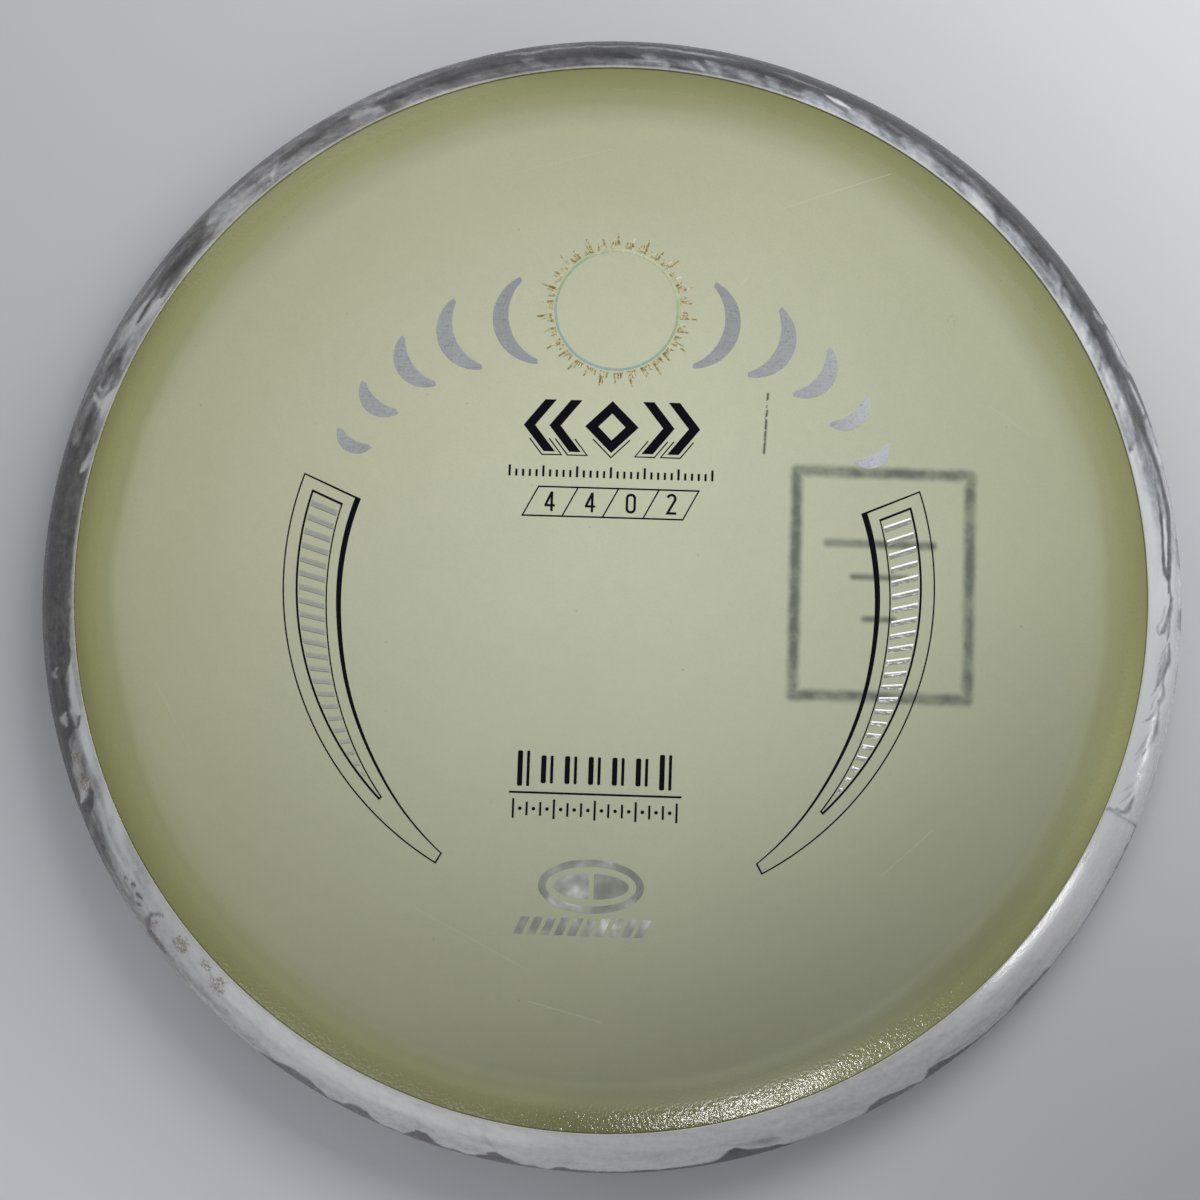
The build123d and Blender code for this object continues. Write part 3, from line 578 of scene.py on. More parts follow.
def marble(angle, across):
    """Tone of every rim vertex."""
    def noise(field):
        return ringed(field, angle)

    def window(a, b, soft):
        """1 between two angles, fading over `soft` degrees at each side."""
        return smooth(a - soft, a + soft, angle) * (1 - smooth(b - soft, b + soft, angle))

    s = Swirl(angle, across)
    streak = noise(lambda a: fbm(a * 0.20 + 1.4 * across, across * 9.0 + 0.03 * a, 4, 211))
    fine = noise(lambda a: fbm(a * 0.9 + across * 3, across * 11.0, 3, 213))
    cloud = noise(lambda a: fbm(a * 0.33 + 2.0 * across, across * 2.6, 4, 215))
    s.zones(ZONES)
    s.tone = s.tone + window(150, 344, 6) * (0.55 * (cloud - 0.5) + 0.30 * (streak - 0.5))
    ground = s.tone.copy()
    s.line([(-3.5, .57), (-1.2, .56), (0.7, .545)], half_width=0.42, tone=0.62, alpha=0.9)
    for points, half_width, tone, alpha in TAILS:
        s.line(points, half_width * 1.1, tone * 0.86, alpha * 0.85, softness=0.8)
    s.draw(NOSE_BEFORE_KNIT)
    # knit line where the two melt fronts met
    knit = np.exp(-((angle - 24.28) / 0.13) ** 2)
    s.paint(np.clip(knit * (0.30 + 0.45 * smooth(0.75, 0.95, across)), 0, 1), 0.75)
    s.draw(NOSE_WAVES)
    for t, v, half_width in DOTS:
        s.line([(t - .12, v - .02), (t + .14, v + .02)], half_width,
               tone=0.72, alpha=0.8, softness=0.6, taper=(1, 1, 1))
    s.draw(DARK_SWEEP)
    for row in STIRRED:
        s.line(*row, softness=0.75)
    s.draw(SLATE_ARC)
    # the compounds bleed into each other where they were stirred most
    bleed = window(196, 292, 8) * (0.12 + 0.34 * smooth(0.40, 0.62, cloud))
    d = s.tone * (1 - bleed) + (0.55 * ground + 0.45 * s.tone.clip(0.12, 1.0)) * bleed
    # painted highlight: the rim is painted pale right at the joint line from 164 to 346 degrees,
    # where the lip faces the light
    d = d - (0.55 * d) * (1 - smooth(0.015, 0.085, across)) * window(164, 346, 3)
    # noise is strongest in the mixed tones
    wild = np.clip(d * (1 - d) * 4, 0, 1)
    d = (d + 0.15 * (fine - 0.5) * wild + 0.20 * (streak - 0.5) * wild
         + 0.07 * (cloud - 0.5) + 0.04 * (streak - 0.5))
    # local tone corrections by angle and by half, darker in some stretches and lighter in others
    inner, outer = 1 - smooth(0.24, 0.44, across), smooth(0.62, 0.80, across)
    more = (window(248, 352, 9) * (0.15 - 0.16 * inner * window(293, 343, 5))
            + 0.10 * outer * window(262, 338, 7))
    more += (0.08 * inner * window(205, 250, 6) + 0.12 * outer * window(217, 233, 4)
             + 0.06 * window(-10, 12, 4) * (1 - outer))
    more -= (0.06 * outer * window(8, 36, 5)
             + 0.13 * window(166, 204, 5) * (1 - smooth(0.40, 0.75, across)))
    d = d + more * smooth(0.04, 0.25, d)
    # the painted highlight along the joint is greyer beside the dark stretch
    d = np.maximum(d, 0.27 * window(166, 200, 3) * (1 - smooth(0.10, 0.20, across)))
    # underneath: the same two compounds in long drawn bands
    knot = noise(lambda a: fbm(a * 0.25, across * 1.4, 2, 91))
    below = noise(lambda a: fbm(a * 0.09 + 2 * cloud, across * 2.4 + 1.4 * knot, 4, 121))
    base = np.interp((angle + 16.0) % 360.0 - 16.0, *zip(*UNDERSIDE))
    below = base + 1.5 * (below - 0.5) + 0.35 * (streak - 0.5)
    k = smooth(0.985, 1.09, across + 0.10 * (knot - 0.5))
    return np.clip(d * (1 - k) + k * below, 0, 1)


# patches of ground-in dirt: angle, place across, half size in degrees, half size across, strength
DIRT = [(134.2, .34, 1.3, .26, .85), (136.5, .22, 1.0, .16, .8), (139.8, .36, 1.1, .24, 1.0),
        (141.8, .82, 1.9, .10, 1.0), (143.2, .62, .7, .22, .6), (159.4, .52, 1.3, .22, .9),
        (162.2, .50, 1.6, .18, .8), (165.8, .42, .9, .20, .5), (102.2, .50, 1.4, .22, .35),
        (106.5, .55, 1.6, .2, .35), (109.4, .40, 1.0, .22, .30), (117.8, .26, .9, .16, .35),
        (197.5, .62, 2.0, .2, .5), (225.5, .45, 2.6, .3, .35), (47.5, .42, 1.2, .2, .25),
        (31.5, .55, 1.2, .2, .22)]


def dirt_patches(angle, across):
    dirt = np.zeros_like(angle)
    for t, v, a, b, strength in DIRT:
        reach = ((angle - t) / a) ** 2 + ((across - v) / b) ** 2
        dirt = np.maximum(dirt, strength * np.exp(-reach ** 1.5))
    return dirt


# --------------------------------------------------------------- flat outlines
# A shape is (outer loop, list of hole loops), in mm seen from above.
def polar(r, deg):
    return (r * math.cos(rad(deg)), r * math.sin(rad(deg)))


def ellipse(cx, cy, a, b, n=72):
    return [(cx + a * math.cos(2 * math.pi * k / n), cy + b * math.sin(2 * math.pi * k / n))
            for k in range(n)]


def circle(cx, cy, r, n):
    return ellipse(cx, cy, r, r, n)


def box_loop(cx, cy, w, h, r=0.0, n=5):
    """Rectangle about a centre; r rounds its corners in n pieces each."""
    if r <= 0:
        return [(cx - w / 2, cy - h / 2), (cx + w / 2, cy - h / 2),
                (cx + w / 2, cy + h / 2), (cx - w / 2, cy + h / 2)]
    out = []
    for sx, sy, a0 in ((1, 1, 0), (-1, 1, 90), (-1, -1, 180), (1, -1, 270)):
        for k in range(n + 1):
            a = rad(a0 + 90 * k / n)
            out.append((cx + sx * (w / 2 - r) + r * math.cos(a),
                        cy + sy * (h / 2 - r) + r * math.sin(a)))
    return out


def slant(x0, x1, y0, y1, k):
    """Parallelogram that leans by k in x for each step in y."""
    return [(x0 + k * y0, y0), (x1 + k * y0, y0), (x1 + k * y1, y1), (x0 + k * y1, y1)]


def turned(loop, ccw):
    """The loop, reversed where needed to run counterclockwise or clockwise."""
    area = 0.5 * sum(a[0] * b[1] - b[0] * a[1] for a, b in zip(loop, loop[1:] + loop[:1]))
    return loop if (area > 0) == ccw else loop[::-1]


def refined(loop, step):
    out = []
    for a, b in zip(loop, loop[1:] + loop[:1]):
        n = max(1, int(math.ceil(math.hypot(b[0] - a[0], b[1] - a[1]) / step)))
        out += [(a[0] + (b[0] - a[0]) * k / n, a[1] + (b[1] - a[1]) * k / n) for k in range(n)]
    return out


def left_offset(loop, d):
    """Moves a closed loop to its left by d, with mitred corners."""
    out, n = [], len(loop)
    for i in range(n):
        p, c, q = loop[i - 1], loop[i], loop[(i + 1) % n]
        a = np.array([c[0] - p[0], c[1] - p[1]])
        b = np.array([q[0] - c[0], q[1] - c[1]])
        a /= np.linalg.norm(a) + 1e-12
        b /= np.linalg.norm(b) + 1e-12
        m = np.array([-a[1], a[0]]) + np.array([-b[1], b[0]])
        k = min(2.5, 2.0 / max(1e-6, float(m @ m)))
        out.append((c[0] + m[0] * d * k, c[1] + m[1] * d * k))
    return out


def ribbon(points, w):
    """Outline of an open stroke of width w."""
    p = [np.array(q, float) for q in points]
    left, right = [], []
    for i, c in enumerate(p):
        a = (c - p[i - 1]) if i > 0 else (p[1] - c)
        b = (p[i + 1] - c) if i + 1 < len(p) else a
        a = a / np.linalg.norm(a)
        b = b / np.linalg.norm(b)
        m = np.array([-a[1], a[0]]) + np.array([-b[1], b[0]])
        k = min(2.2, 2.0 / max(0.3, float(m @ m)))
        left.append(tuple(c + m * k * w / 2))
        right.append(tuple(c - m * k * w / 2))
    return left + right[::-1]


def eased(table, x):
    """Smooth curve through a table of (x, y) with falling x."""
    xs, ys = np.array(table[::-1], float).T
    m = np.gradient(ys, xs)
    k = int(np.clip(np.searchsorted(xs, x) - 1, 0, len(xs) - 2))
    h = xs[k + 1] - xs[k]
    t = (x - xs[k]) / h
    return float((2 * t ** 3 - 3 * t ** 2 + 1) * ys[k] + (t ** 3 - 2 * t ** 2 + t) * h * m[k]
                 + (-2 * t ** 3 + 3 * t ** 2) * ys[k + 1] + (t ** 3 - t ** 2) * h * m[k + 1])


def mapped(shapes, change):
    return [([change(x, y) for x, y in outer], [[change(x, y) for x, y in h] for h in holes])
            for outer, holes in shapes]


def mirrored(shapes):
    return mapped(shapes, lambda x, y: (-x, y))


def moved(shapes, dx, dy):
    return mapped(shapes, lambda x, y: (x + dx, y + dy))


def within(points, loop):
    """Even-odd test of many points against a closed loop."""
    x, y = points[:, 0], points[:, 1]
    inside = np.zeros(len(points), bool)
    for (x0, y0), (x1, y1) in zip(loop, loop[1:] + loop[:1]):
        if y0 != y1:
            inside ^= ((y0 > y) != (y1 > y)) & (x < (x1 - x0) * (y - y0) / (y1 - y0) + x0)
    return inside


# ------------------------------------------------------------------ thin films
FILM_SINK = 0.05        # how far a film reaches into the plastic
FILM_STEP = 1.1         # longest edge along an outline
FILM_GRID = 2.2         # pitch of the points inside an outline


def grid_points(flat):
    """Staggered points over the outline's box that keep clear of the outline's own points."""
    xs, ys = [p[0] for p in flat], [p[1] for p in flat]
    points = []
    if max(xs) - min(xs) > FILM_GRID and max(ys) - min(ys) > FILM_GRID:
        row = 0
        y = min(ys) + FILM_GRID * 0.5
        while y < max(ys):
            x = min(xs) + FILM_GRID * (0.5 if row % 2 else 0.0) + 0.3
            while x < max(xs):
                gap = min((x - q[0]) ** 2 + (y - q[1]) ** 2 for q in flat)
                if gap > (0.35 * FILM_GRID) ** 2:
                    points.append(Vector((x, y)))
                x += FILM_GRID
            y += FILM_GRID * 0.87
            row += 1
    return points


def triangulated(loops, cut):
    """Triangles inside the loops after they are drawn in by cut.

    Gives the points, the triangles, the input point behind each point (-1 for a new one) and
    the outline edges."""
    inset = [left_offset(loop, cut) for loop in loops]
    flat, edges = [], []
    for loop in inset:
        s, n = len(flat), len(loop)
        flat += [Vector(p) for p in loop]
        edges += [(s + i, s + (i + 1) % n) for i in range(n)]
    result = geometry.delaunay_2d_cdt(flat + grid_points(flat), edges, [], 1, 1e-7)
    xy = np.array([(p[0], p[1]) for p in result[0]])
    triangles = result[2]
    middles = np.array([sum(xy[k] for k in t) / 3 for t in triangles])
    solid = within(middles, inset[0])
    for hole in inset[1:]:
        solid &= ~within(middles, hole)
    triangles = [t for t, keep in zip(triangles, solid) if keep]
    source = [min(o) if o else -1 for o in result[3]]
    return xy, triangles, source, edges


def film(name, shapes, height, bevel, lift=0.045, side=1):
    """A closed thin film from flat shapes, laid on a curved surface, with a soft pressed edge.

    side is 1 on top of the plate and -1 underneath it."""
    verts, faces = [], []
    for outer, holes in shapes:
        loops = [refined(turned(list(outer), True), FILM_STEP)]
        loops += [refined(turned(list(h), False), FILM_STEP) for h in holes]
        # a smaller bevel where the drawn-in outline would cross itself
        for cut in (bevel, bevel * 0.45, bevel * 0.12):
            xy, triangles, source, edges = triangulated(loops, cut)
            count = len(edges)
            hits = [s for s in source if 0 <= s < count]
            if len(hits) == count and all(s >= 0 for s in source):
                break
        top = len(verts)
        z = height(xy[:, 0], xy[:, 1])
        verts += [(x, y, h + side * lift) for (x, y), h in zip(xy, z)]
        edge_xy = np.array([p for loop in loops for p in loop])
        edge_z = height(edge_xy[:, 0], edge_xy[:, 1])
        edge = len(verts)
        verts += [(x, y, h + side * lift * 0.3) for (x, y), h in zip(edge_xy, edge_z)]
        foot = len(verts)
        verts += [(x, y, h - side * FILM_SINK) for (x, y), h in zip(edge_xy, edge_z)]
        low = {}
        for k, s in enumerate(source):
            if 0 <= s < count:
                low[k] = foot + s
            else:
                low[k] = len(verts)
                verts.append((xy[k][0], xy[k][1], z[k] - side * FILM_SINK))
        at = {s: top + k for k, s in enumerate(source) if 0 <= s < count}
        new = []
        for a, b, c in triangles:
            ccw = ((xy[b][0] - xy[a][0]) * (xy[c][1] - xy[a][1])
                   - (xy[c][0] - xy[a][0]) * (xy[b][1] - xy[a][1]) > 0)
            t = (a, b, c) if ccw else (a, c, b)
            new.append(tuple(top + k for k in t))
            new.append(tuple(low[k] for k in t[::-1]))
        for a, b in edges:
            if a in at and b in at:
                new.append((at[a], edge + a, edge + b, at[b]))
                new.append((edge + a, foot + a, foot + b, edge + b))
        faces += new if side > 0 else [f[::-1] for f in new]
    verts = np.array(verts)
    used = np.zeros(len(verts), bool)
    for f in faces:
        used[list(f)] = True
    remap = np.cumsum(used) - 1
    faces = [[int(remap[i]) for i in f] for f in faces]
    return new_object(name, verts[used] * MM, faces, shade_smooth=False)


# --------------------------------------------------------------- artwork shapes
DIAL = (0.0, 51.9)
TITLE, TITLE_H = (-0.2, 29.35), 9.9


def dial_shapes():
    """A thin ring with sixty pairs of uneven rays."""
    shapes = [(circle(*DIAL, 11.78, 150), [circle(*DIAL, 11.3, 150)])]
    r0 = 12.05
    for i in range(60):
        a = 90 + 6.0 * i
        r1 = (15.1, 13.3, 14.2, 13.3)[i % 4]
        lean = (0.28, -0.22, 0.12, -0.30, 0.20, -0.10, 0.34)[i % 7]
        side, r2 = (-1 if i % 2 else 1), r0 + (r1 - r0) * (0.62, 0.78, 0.50)[i % 3]
        # corners as (radius, distance to the side of the ray's axis)
        long = [(r0, -0.30), (r1, -0.13 + lean), (r1, 0.13 + lean), (r0, 0.30)]
        short = [(r0 + 0.05, 0.46 * side - 0.11), (r2, 0.60 * side - 0.09 + lean * 0.5),
                 (r2, 0.60 * side + 0.09 + lean * 0.5), (r0 + 0.05, 0.46 * side + 0.11)]
        c, s = math.cos(rad(a)), math.sin(rad(a))
        for ray in (long, short):
            shapes.append(([(DIAL[0] + r * c - t * s, DIAL[1] + r * s + t * c)
                            for r, t in ray], []))
    return shapes


# crescents to the +X side of the dial: centre x, y, outer radius, width, direction in degrees
CRESCENTS = [(14.45, 49.93, 8.9, 3.0, -13.0), (26.21, 47.30, 7.7, 3.3, -24.0),
             (35.69, 42.07, 6.1, 3.2, -36.0), (43.15, 34.91, 4.85, 2.9, -50.0),
             (47.90, 26.88, 3.9, 2.5, -61.0)]


def crescent(cx, cy, r, w, d):
    span, tip = 76.0, 0.9
    outer = [(cx + r * math.cos(rad(d + a)), cy + r * math.sin(rad(d + a)))
             for a in np.linspace(-span, span, 44)]
    end = np.array([(r - tip) * math.cos(rad(span)), (r - tip) * math.sin(rad(span))])
    mid = r - w
    # circle through the two tips and the middle of the inner edge, in the mark's own axes
    c0 = (end[0] ** 2 + end[1] ** 2 - mid ** 2) / (2 * (end[0] - mid))
    inner_r = mid - c0
    a1 = math.degrees(math.atan2(end[1], end[0] - c0))
    inner = [(c0 + inner_r * math.cos(rad(a)), inner_r * math.sin(rad(a)))
             for a in np.linspace(a1, -a1, 36)]
    c, s = math.cos(rad(d)), math.sin(rad(d))
    return (outer + [(cx + x * c - y * s, cy + x * s + y * c) for x, y in inner], [])


def chevron(x, s):
    """A thick angle mark with its point at x, open towards s."""
    h, d, w = TITLE_H / 2, 3.9, 1.7 * 1.25
    return [(x, 0), (x + s * d, h), (x + s * (d + w), h), (x + s * w, 0),
            (x + s * (d + w), -h), (x + s * d, -h)]


def low_outline(loop, top):
    """The part of a fine outline round a block that lies below top."""
    line = refined(left_offset(turned(list(loop), True), -0.62), 0.25)
    runs, run = [], []
    start = next((i for i, p in enumerate(line) if p[1] > top), 0)
    for p in line[start:] + line[:start]:
        if p[1] <= top:
            run.append(p)
        elif run:
            runs.append(run)
            run = []
    if run:
        runs.append(run)
    shapes = []
    for run in runs:
        bends = [b for a, b, c in zip(run, run[1:], run[2:])
                 if abs((b[0] - a[0]) * (c[1] - b[1]) - (b[1] - a[1]) * (c[0] - b[0])) > 1e-6]
        shapes.append((ribbon([run[0]] + bends + [run[-1]], 0.24), []))
    return shapes


def title_shapes():
    """Two chevrons on each side of a hollow diamond, each block finely outlined at its foot."""
    h = TITLE_H / 2
    diamond = [(5.0, 0), (0, h), (-5.0, 0), (0, -h)]
    hole = [(2.55, 0), (0, h - 2.4), (-2.55, 0), (0, -h + 2.4)]
    blocks = [chevron(-16.5, 1), chevron(-11.7, 1), chevron(16.5, -1), chevron(11.7, -1)]
    shapes = [(b, []) for b in blocks] + [(diamond, [hole])]
    for block in blocks + [diamond]:
        shapes += low_outline(block, -h + 2.6)
    return moved(shapes, *TITLE)


def scale_shapes():
    """A row of ticks, every fifth one taller."""
    shapes = []
    for i in range(31):
        tall = 2.1 if i % 5 == 0 else 1.35
        shapes.append((box_loop((i - 15) * 1.26 - 0.1, 20.65 - 1.05 + tall / 2, 0.42, tall), []))
    return shapes


DIGITS = {
    "4": [([(0.12, 1.85), (-0.98, -0.55), (-0.98, -0.98), (0.12, -0.98), (0.12, -1.85),
            (0.58, -1.85), (0.58, -0.98), (0.95, -0.98), (0.95, -0.54), (0.58, -0.54),
            (0.58, 1.85)], [[(0.12, -0.54), (-0.48, -0.54), (0.12, 0.78)]])],
    "0": [(box_loop(0, 0, 1.9, 3.7, 0.85, 7), [box_loop(0, 0, 0.98, 2.78, 0.42, 6)])],
    "2": [(ribbon([(0.72 * math.cos(rad(a)), 1.13 + 0.72 * math.sin(rad(a)))
                   for a in range(165, -41, -15)] + [(-0.70, -1.62), (0.95, -1.62)], 0.46), [])],
}


def cell_shapes():
    """Four slanted cells in one frame, with a digit in each."""
    x0, x1, y0, y1 = -16.55, 13.6, 12.05, 17.85
    lean, line = 3.0, 0.3
    w, h = (x1 - x0) / 4, y1 - y0
    k = lean / h
    holes = []
    for i in range(4):
        a = i * w + line * (1.0 if i == 0 else 0.5)
        b = (i + 1) * w - line * (1.0 if i == 3 else 0.5)
        holes.append(slant(a, b, line, h - line, k))
    shapes = moved([(slant(0, 4 * w, 0, h, k), holes)], x0, y0)
    for i, digit in enumerate("4402"):
        shapes += moved(DIGITS[digit], x0 + (i + 0.5) * w + lean / 2, (y0 + y1) / 2)
    return shapes


def label_shapes():
    """Seven pairs of upright bars over a rule, and a row of ticks and dots below it."""
    cx = -1.2
    shapes = []
    for i in range(7):
        tall, base = (6.5, -38.0) if i in (0, 6) else (5.1, -37.4)
        x = cx + (i - 3) * 4.35
        shapes.append((box_loop(x - 0.72, base + tall / 2, 0.95, tall, 0.3), []))
        shapes.append((box_loop(x + 0.78, base + tall / 2, 0.55, tall, 0.2), []))
    shapes.append((box_loop(cx + 0.2, -39.15, 31.7, 0.38), []))
    for i in range(13):
        x = cx + 0.2 + (i - 6) * 2.5
        shapes.append((box_loop(x, -42.1, 0.4, 3.6 if i % 3 == 0 else 2.5), []))
        if i < 12:
            shapes.append((circle(x + 1.25, -42.1, 0.34, 16), []))
    return shapes


def emblem_shapes():
    """An oval ring round a split oval, with ten slanted bars below."""
    cx, cy, a, b, split = -1.2, -55.9, 6.9, 2.35, 0.5
    shapes = [(ellipse(cx, cy, 9.7, 4.9), [ellipse(cx, cy, 8.3, 3.6)])]
    y_cut = b * math.sqrt(1 - (split / a) ** 2)
    for s in (1, -1):
        half = [(x, y) for x, y in ellipse(cx, cy, a, b, 96) if s * (x - cx) > split]
        half.sort(key=lambda p: s * math.atan2(p[1] - cy, s * (p[0] - cx)))
        ends = [(cx + s * split, cy - s * y_cut), (cx + s * split, cy + s * y_cut)]
        shapes.append((ends[:1] + half + ends[1:], []))
    for i in range(10):
        bar = [(slant(-0.8, 0.8, -1.6, 1.6, 0.45), [])]
        shapes += moved(bar, -2.6 + (i - 4.5) * 2.46, -63.3)
    return shapes


# Curved gauge on the +X side. Columns: angle in degrees, radius or width in mm.
GAUGE_INNER = [(17.2, 48.8), (0, 49.4), (-12, 50.15), (-25, 51.7), (-39.4, 54.0),
               (-51.4, 56.5), (-60.5, 58.35)]
GAUGE_WIDTH = [(17.2, 1.12), (0, 1.0), (-12, 0.85), (-25, 0.7), (-39.4, 0.5),
               (-51.4, 0.34), (-60.5, 0.22)]
WINDOW_INNER = [(15.1, 51.75), (0, 52.1), (-12.4, 52.8), (-26.7, 54.47), (-36.9, 56.0),
                (-45.5, 57.35)]
RUNG_OUTER_R = 57.53


def band(table, outer_r, outer_top, inset=lambda angle: 0.0, top=0.0, foot=0.0):
    """Loop between an inner curve and an arc; top and foot shorten the inner curve."""
    a0, a1 = table[0][0] - top, table[-1][0] + foot
    inner = [polar(eased(table, a) + inset(a), a) for a in np.linspace(a0, a1, 70)]
    return inner + [polar(outer_r, a) for a in np.linspace(a1, outer_top, 80)]


def gauge_shapes():
    """Two tapering frames, one inside the other."""
    outer_hole = band(GAUGE_INNER, 60.33, 18.1, top=0.3, foot=0.3,
                      inset=lambda angle: eased(GAUGE_WIDTH, angle))
    inner_hole = band(WINDOW_INNER, 57.75, 15.55, top=0.45, foot=0.35, inset=lambda angle: 0.26)
    return [(band(GAUGE_INNER, 60.6, 18.4), [outer_hole]),
            (band(WINDOW_INNER, 58.15, 16.0), [inner_hole])]


def rung_shapes():
    """Slanted rungs in the gauge window, and each one's (x, y, direction x, y, half width)."""
    shapes, axes = [], []
    for i in range(23):
        s = i / 22
        angle = 13.2 - (3.0 * s + 0.30 * s * (1 - s)) / 3.0 * 55.5
        d = rad(angle + 8.0 + 15.0 * min(1.0, s * 2.2))
        m = np.array(polar((eased(WINDOW_INNER, angle) + 0.5 + RUNG_OUTER_R) / 2, angle))
        u = np.array([math.cos(d), math.sin(d)])
        w = 1.15 - 0.35 * s

        def reach(side, sign):
            """How far one long edge of the rung runs before it meets the window frame."""
            c = m + np.array([-u[1], u[0]]) * side * w / 2
            t = 0.0
            while t < 8:
                q = c + u * sign * (t + 0.02)
                r, a = math.hypot(*q), math.degrees(math.atan2(q[1], q[0]))
                if not (a < 15.0 and r < RUNG_OUTER_R and r > eased(WINDOW_INNER, a) + 0.48):
                    break
                t += 0.02
            return c + u * sign * t, t

        ends = [reach(1, 1), reach(1, -1), reach(-1, -1), reach(-1, 1)]
        if min(e[1] for e in ends) > 0.12:
            shapes.append(([tuple(e[0]) for e in ends], []))
            axes.append((m[0], m[1], u[0], u[1], w / 2))
    return shapes, axes


# marker box on the underside, with three written lines (y, length, thickness)
BOX_X0, BOX_X1, BOX_Y0, BOX_Y1, BOX_LINE = 33.6, 67.9, -20.6, 23.2, 2.0
BOX_X, BOX_Y = (BOX_X0 + BOX_X1) / 2, (BOX_Y0 + BOX_Y1) / 2
BOX_W, BOX_H = BOX_X1 - BOX_X0, BOX_Y1 - BOX_Y0
INK_LINES = ((8.8, 21.0, 1.5), (2.6, 11.0, 1.1), (-5.2, 6.5, 1.1))


def ink_shapes():
    hole = box_loop(BOX_X, BOX_Y, BOX_W - 2 * BOX_LINE, BOX_H - 2 * BOX_LINE, 0.6)
    shapes = [(box_loop(BOX_X, BOX_Y, BOX_W, BOX_H, 1.4), [hole])]
    shapes += [(box_loop(BOX_X - 0.5, y, w, t, t * 0.45), []) for y, w, t in INK_LINES]
    return shapes


arcs = [crescent(*row) for row in CRESCENTS]
gauge = gauge_shapes()
rungs, rung_axes = rung_shapes()
# CAD piece, object name, shapes, bevel, material
FOILS = [
    ("ring_foil", "dial_gold", dial_shapes(), 0.045, "gold_foil"),
    ("arc_marks_right_foil", "arc_marks_right", arcs, 0.06, "silver_foil"),
    ("arc_marks_left_foil", "arc_marks_left", mirrored(arcs), 0.06, "silver_foil"),
    ("title_foil", "title_ornament", title_shapes(), 0.07, "black_foil"),
    ("scale_row_foil", "scale_row", scale_shapes(), 0.05, "black_foil"),
    ("rating_cells_foil", "rating_cells", cell_shapes(), 0.05, "black_foil"),
    ("label_foil", "material_label", label_shapes(), 0.06, "black_foil"),
    ("emblem_foil", "emblem", emblem_shapes(), 0.12, "silver_foil"),
    ("gauge_right_foil", "gauge_right", gauge, 0.04, "black_foil"),
    ("gauge_left_foil", "gauge_left", mirrored(gauge), 0.04, "black_foil"),
    ("rungs_right_foil", "rungs_right", rungs, 0.12, "rung_foil"),
    ("rungs_left_foil", "rungs_left", mirrored(rungs), 0.12, "rung_foil"),
]
pieces = {node: film(name, shapes, plate_height, bevel)
          for node, name, shapes, bevel, _ in FOILS}
name_box = film("name_box", ink_shapes(), under_height, bevel=0.1, lift=0.035, side=-1)


def across_rungs(ob, flip):
    """Stores each point's place across its rung, from -1 at the lower edge to 1 at the upper."""
    xy = np.array([(v.co.x, v.co.y) for v in ob.data.vertices]) / MM
    xy[:, 0] *= flip
    best, out = np.full(len(xy), 1e9), np.zeros(len(xy))
    for mx, my, ux, uy, half in rung_axes:
        t = (xy[:, 1] - my) * ux - (xy[:, 0] - mx) * uy
        near = np.abs(t) < best
        best[near] = np.abs(t[near])
        out[near] = np.clip(t[near] / half, -1, 1)
    attach(ob, "edge", out)


across_rungs(pieces["rungs_right_foil"], 1.0)
across_rungs(pieces["rungs_left_foil"], -1.0)

rim_verts, rim_faces, rim_angle, rim_across = rim_mesh()
rim = new_object("disc_rim", rim_verts * MM, rim_faces)
attach(rim, "dark", marble(rim_angle, rim_across))
attach(rim, "dirt", dirt_patches(rim_angle, rim_across))
attach(rim, "across", rim_across)


# ------------------------------------------------------------- shader helpers
def math_operator(operation, swapped=False):
    def apply(self, *others):
        values = (*others, self) if swapped else (self, *others)
        return self.net.math(operation, *values)
    return apply


class Value:
    """A shader value that works in Python arithmetic; every operation adds one node."""

    def __init__(self, net, socket):
        self.net, self.socket = net, socket

    __add__, __radd__ = math_operator("ADD"), math_operator("ADD", swapped=True)
    __sub__, __rsub__ = math_operator("SUBTRACT"), math_operator("SUBTRACT", swapped=True)
    __mul__ = math_operator("MULTIPLY")
    __truediv__ = math_operator("DIVIDE")
    __pow__ = math_operator("POWER")
    __abs__ = math_operator("ABSOLUTE")
    min, max = math_operator("MINIMUM"), math_operator("MAXIMUM")
    less_than = math_operator("LESS_THAN")
    mul_add = math_operator("MULTIPLY_ADD")     # self * first + second
    atan2 = math_operator("ARCTAN2")
    sqrt, sine = math_operator("SQRT"), math_operator("SINE")

    def clamp(self):
        return self.net.math("ADD", self, 0.0, clamp=True)

    def step(self, start, end, low=0.0, high=1.0):
        """Smooth step from low at start to high at end; start may be above end."""
        if start > end:
            start, end, low, high = end, start, high, low
        return self.net.node("MapRange", (self, start, end, low, high),
                             interpolation_type="SMOOTHSTEP")


def total(values):
    return functools.reduce(operator.add, values)


def fill(tree, node, inputs):
    """Links or sets the inputs of a node, given as a list from the first on or as a dict."""
    for key, value in inputs.items() if isinstance(inputs, dict) else enumerate(inputs):
        if isinstance(value, Value):
            tree.links.new(value.socket, node.inputs[key])
        else:
            node.inputs[key].default_value = value


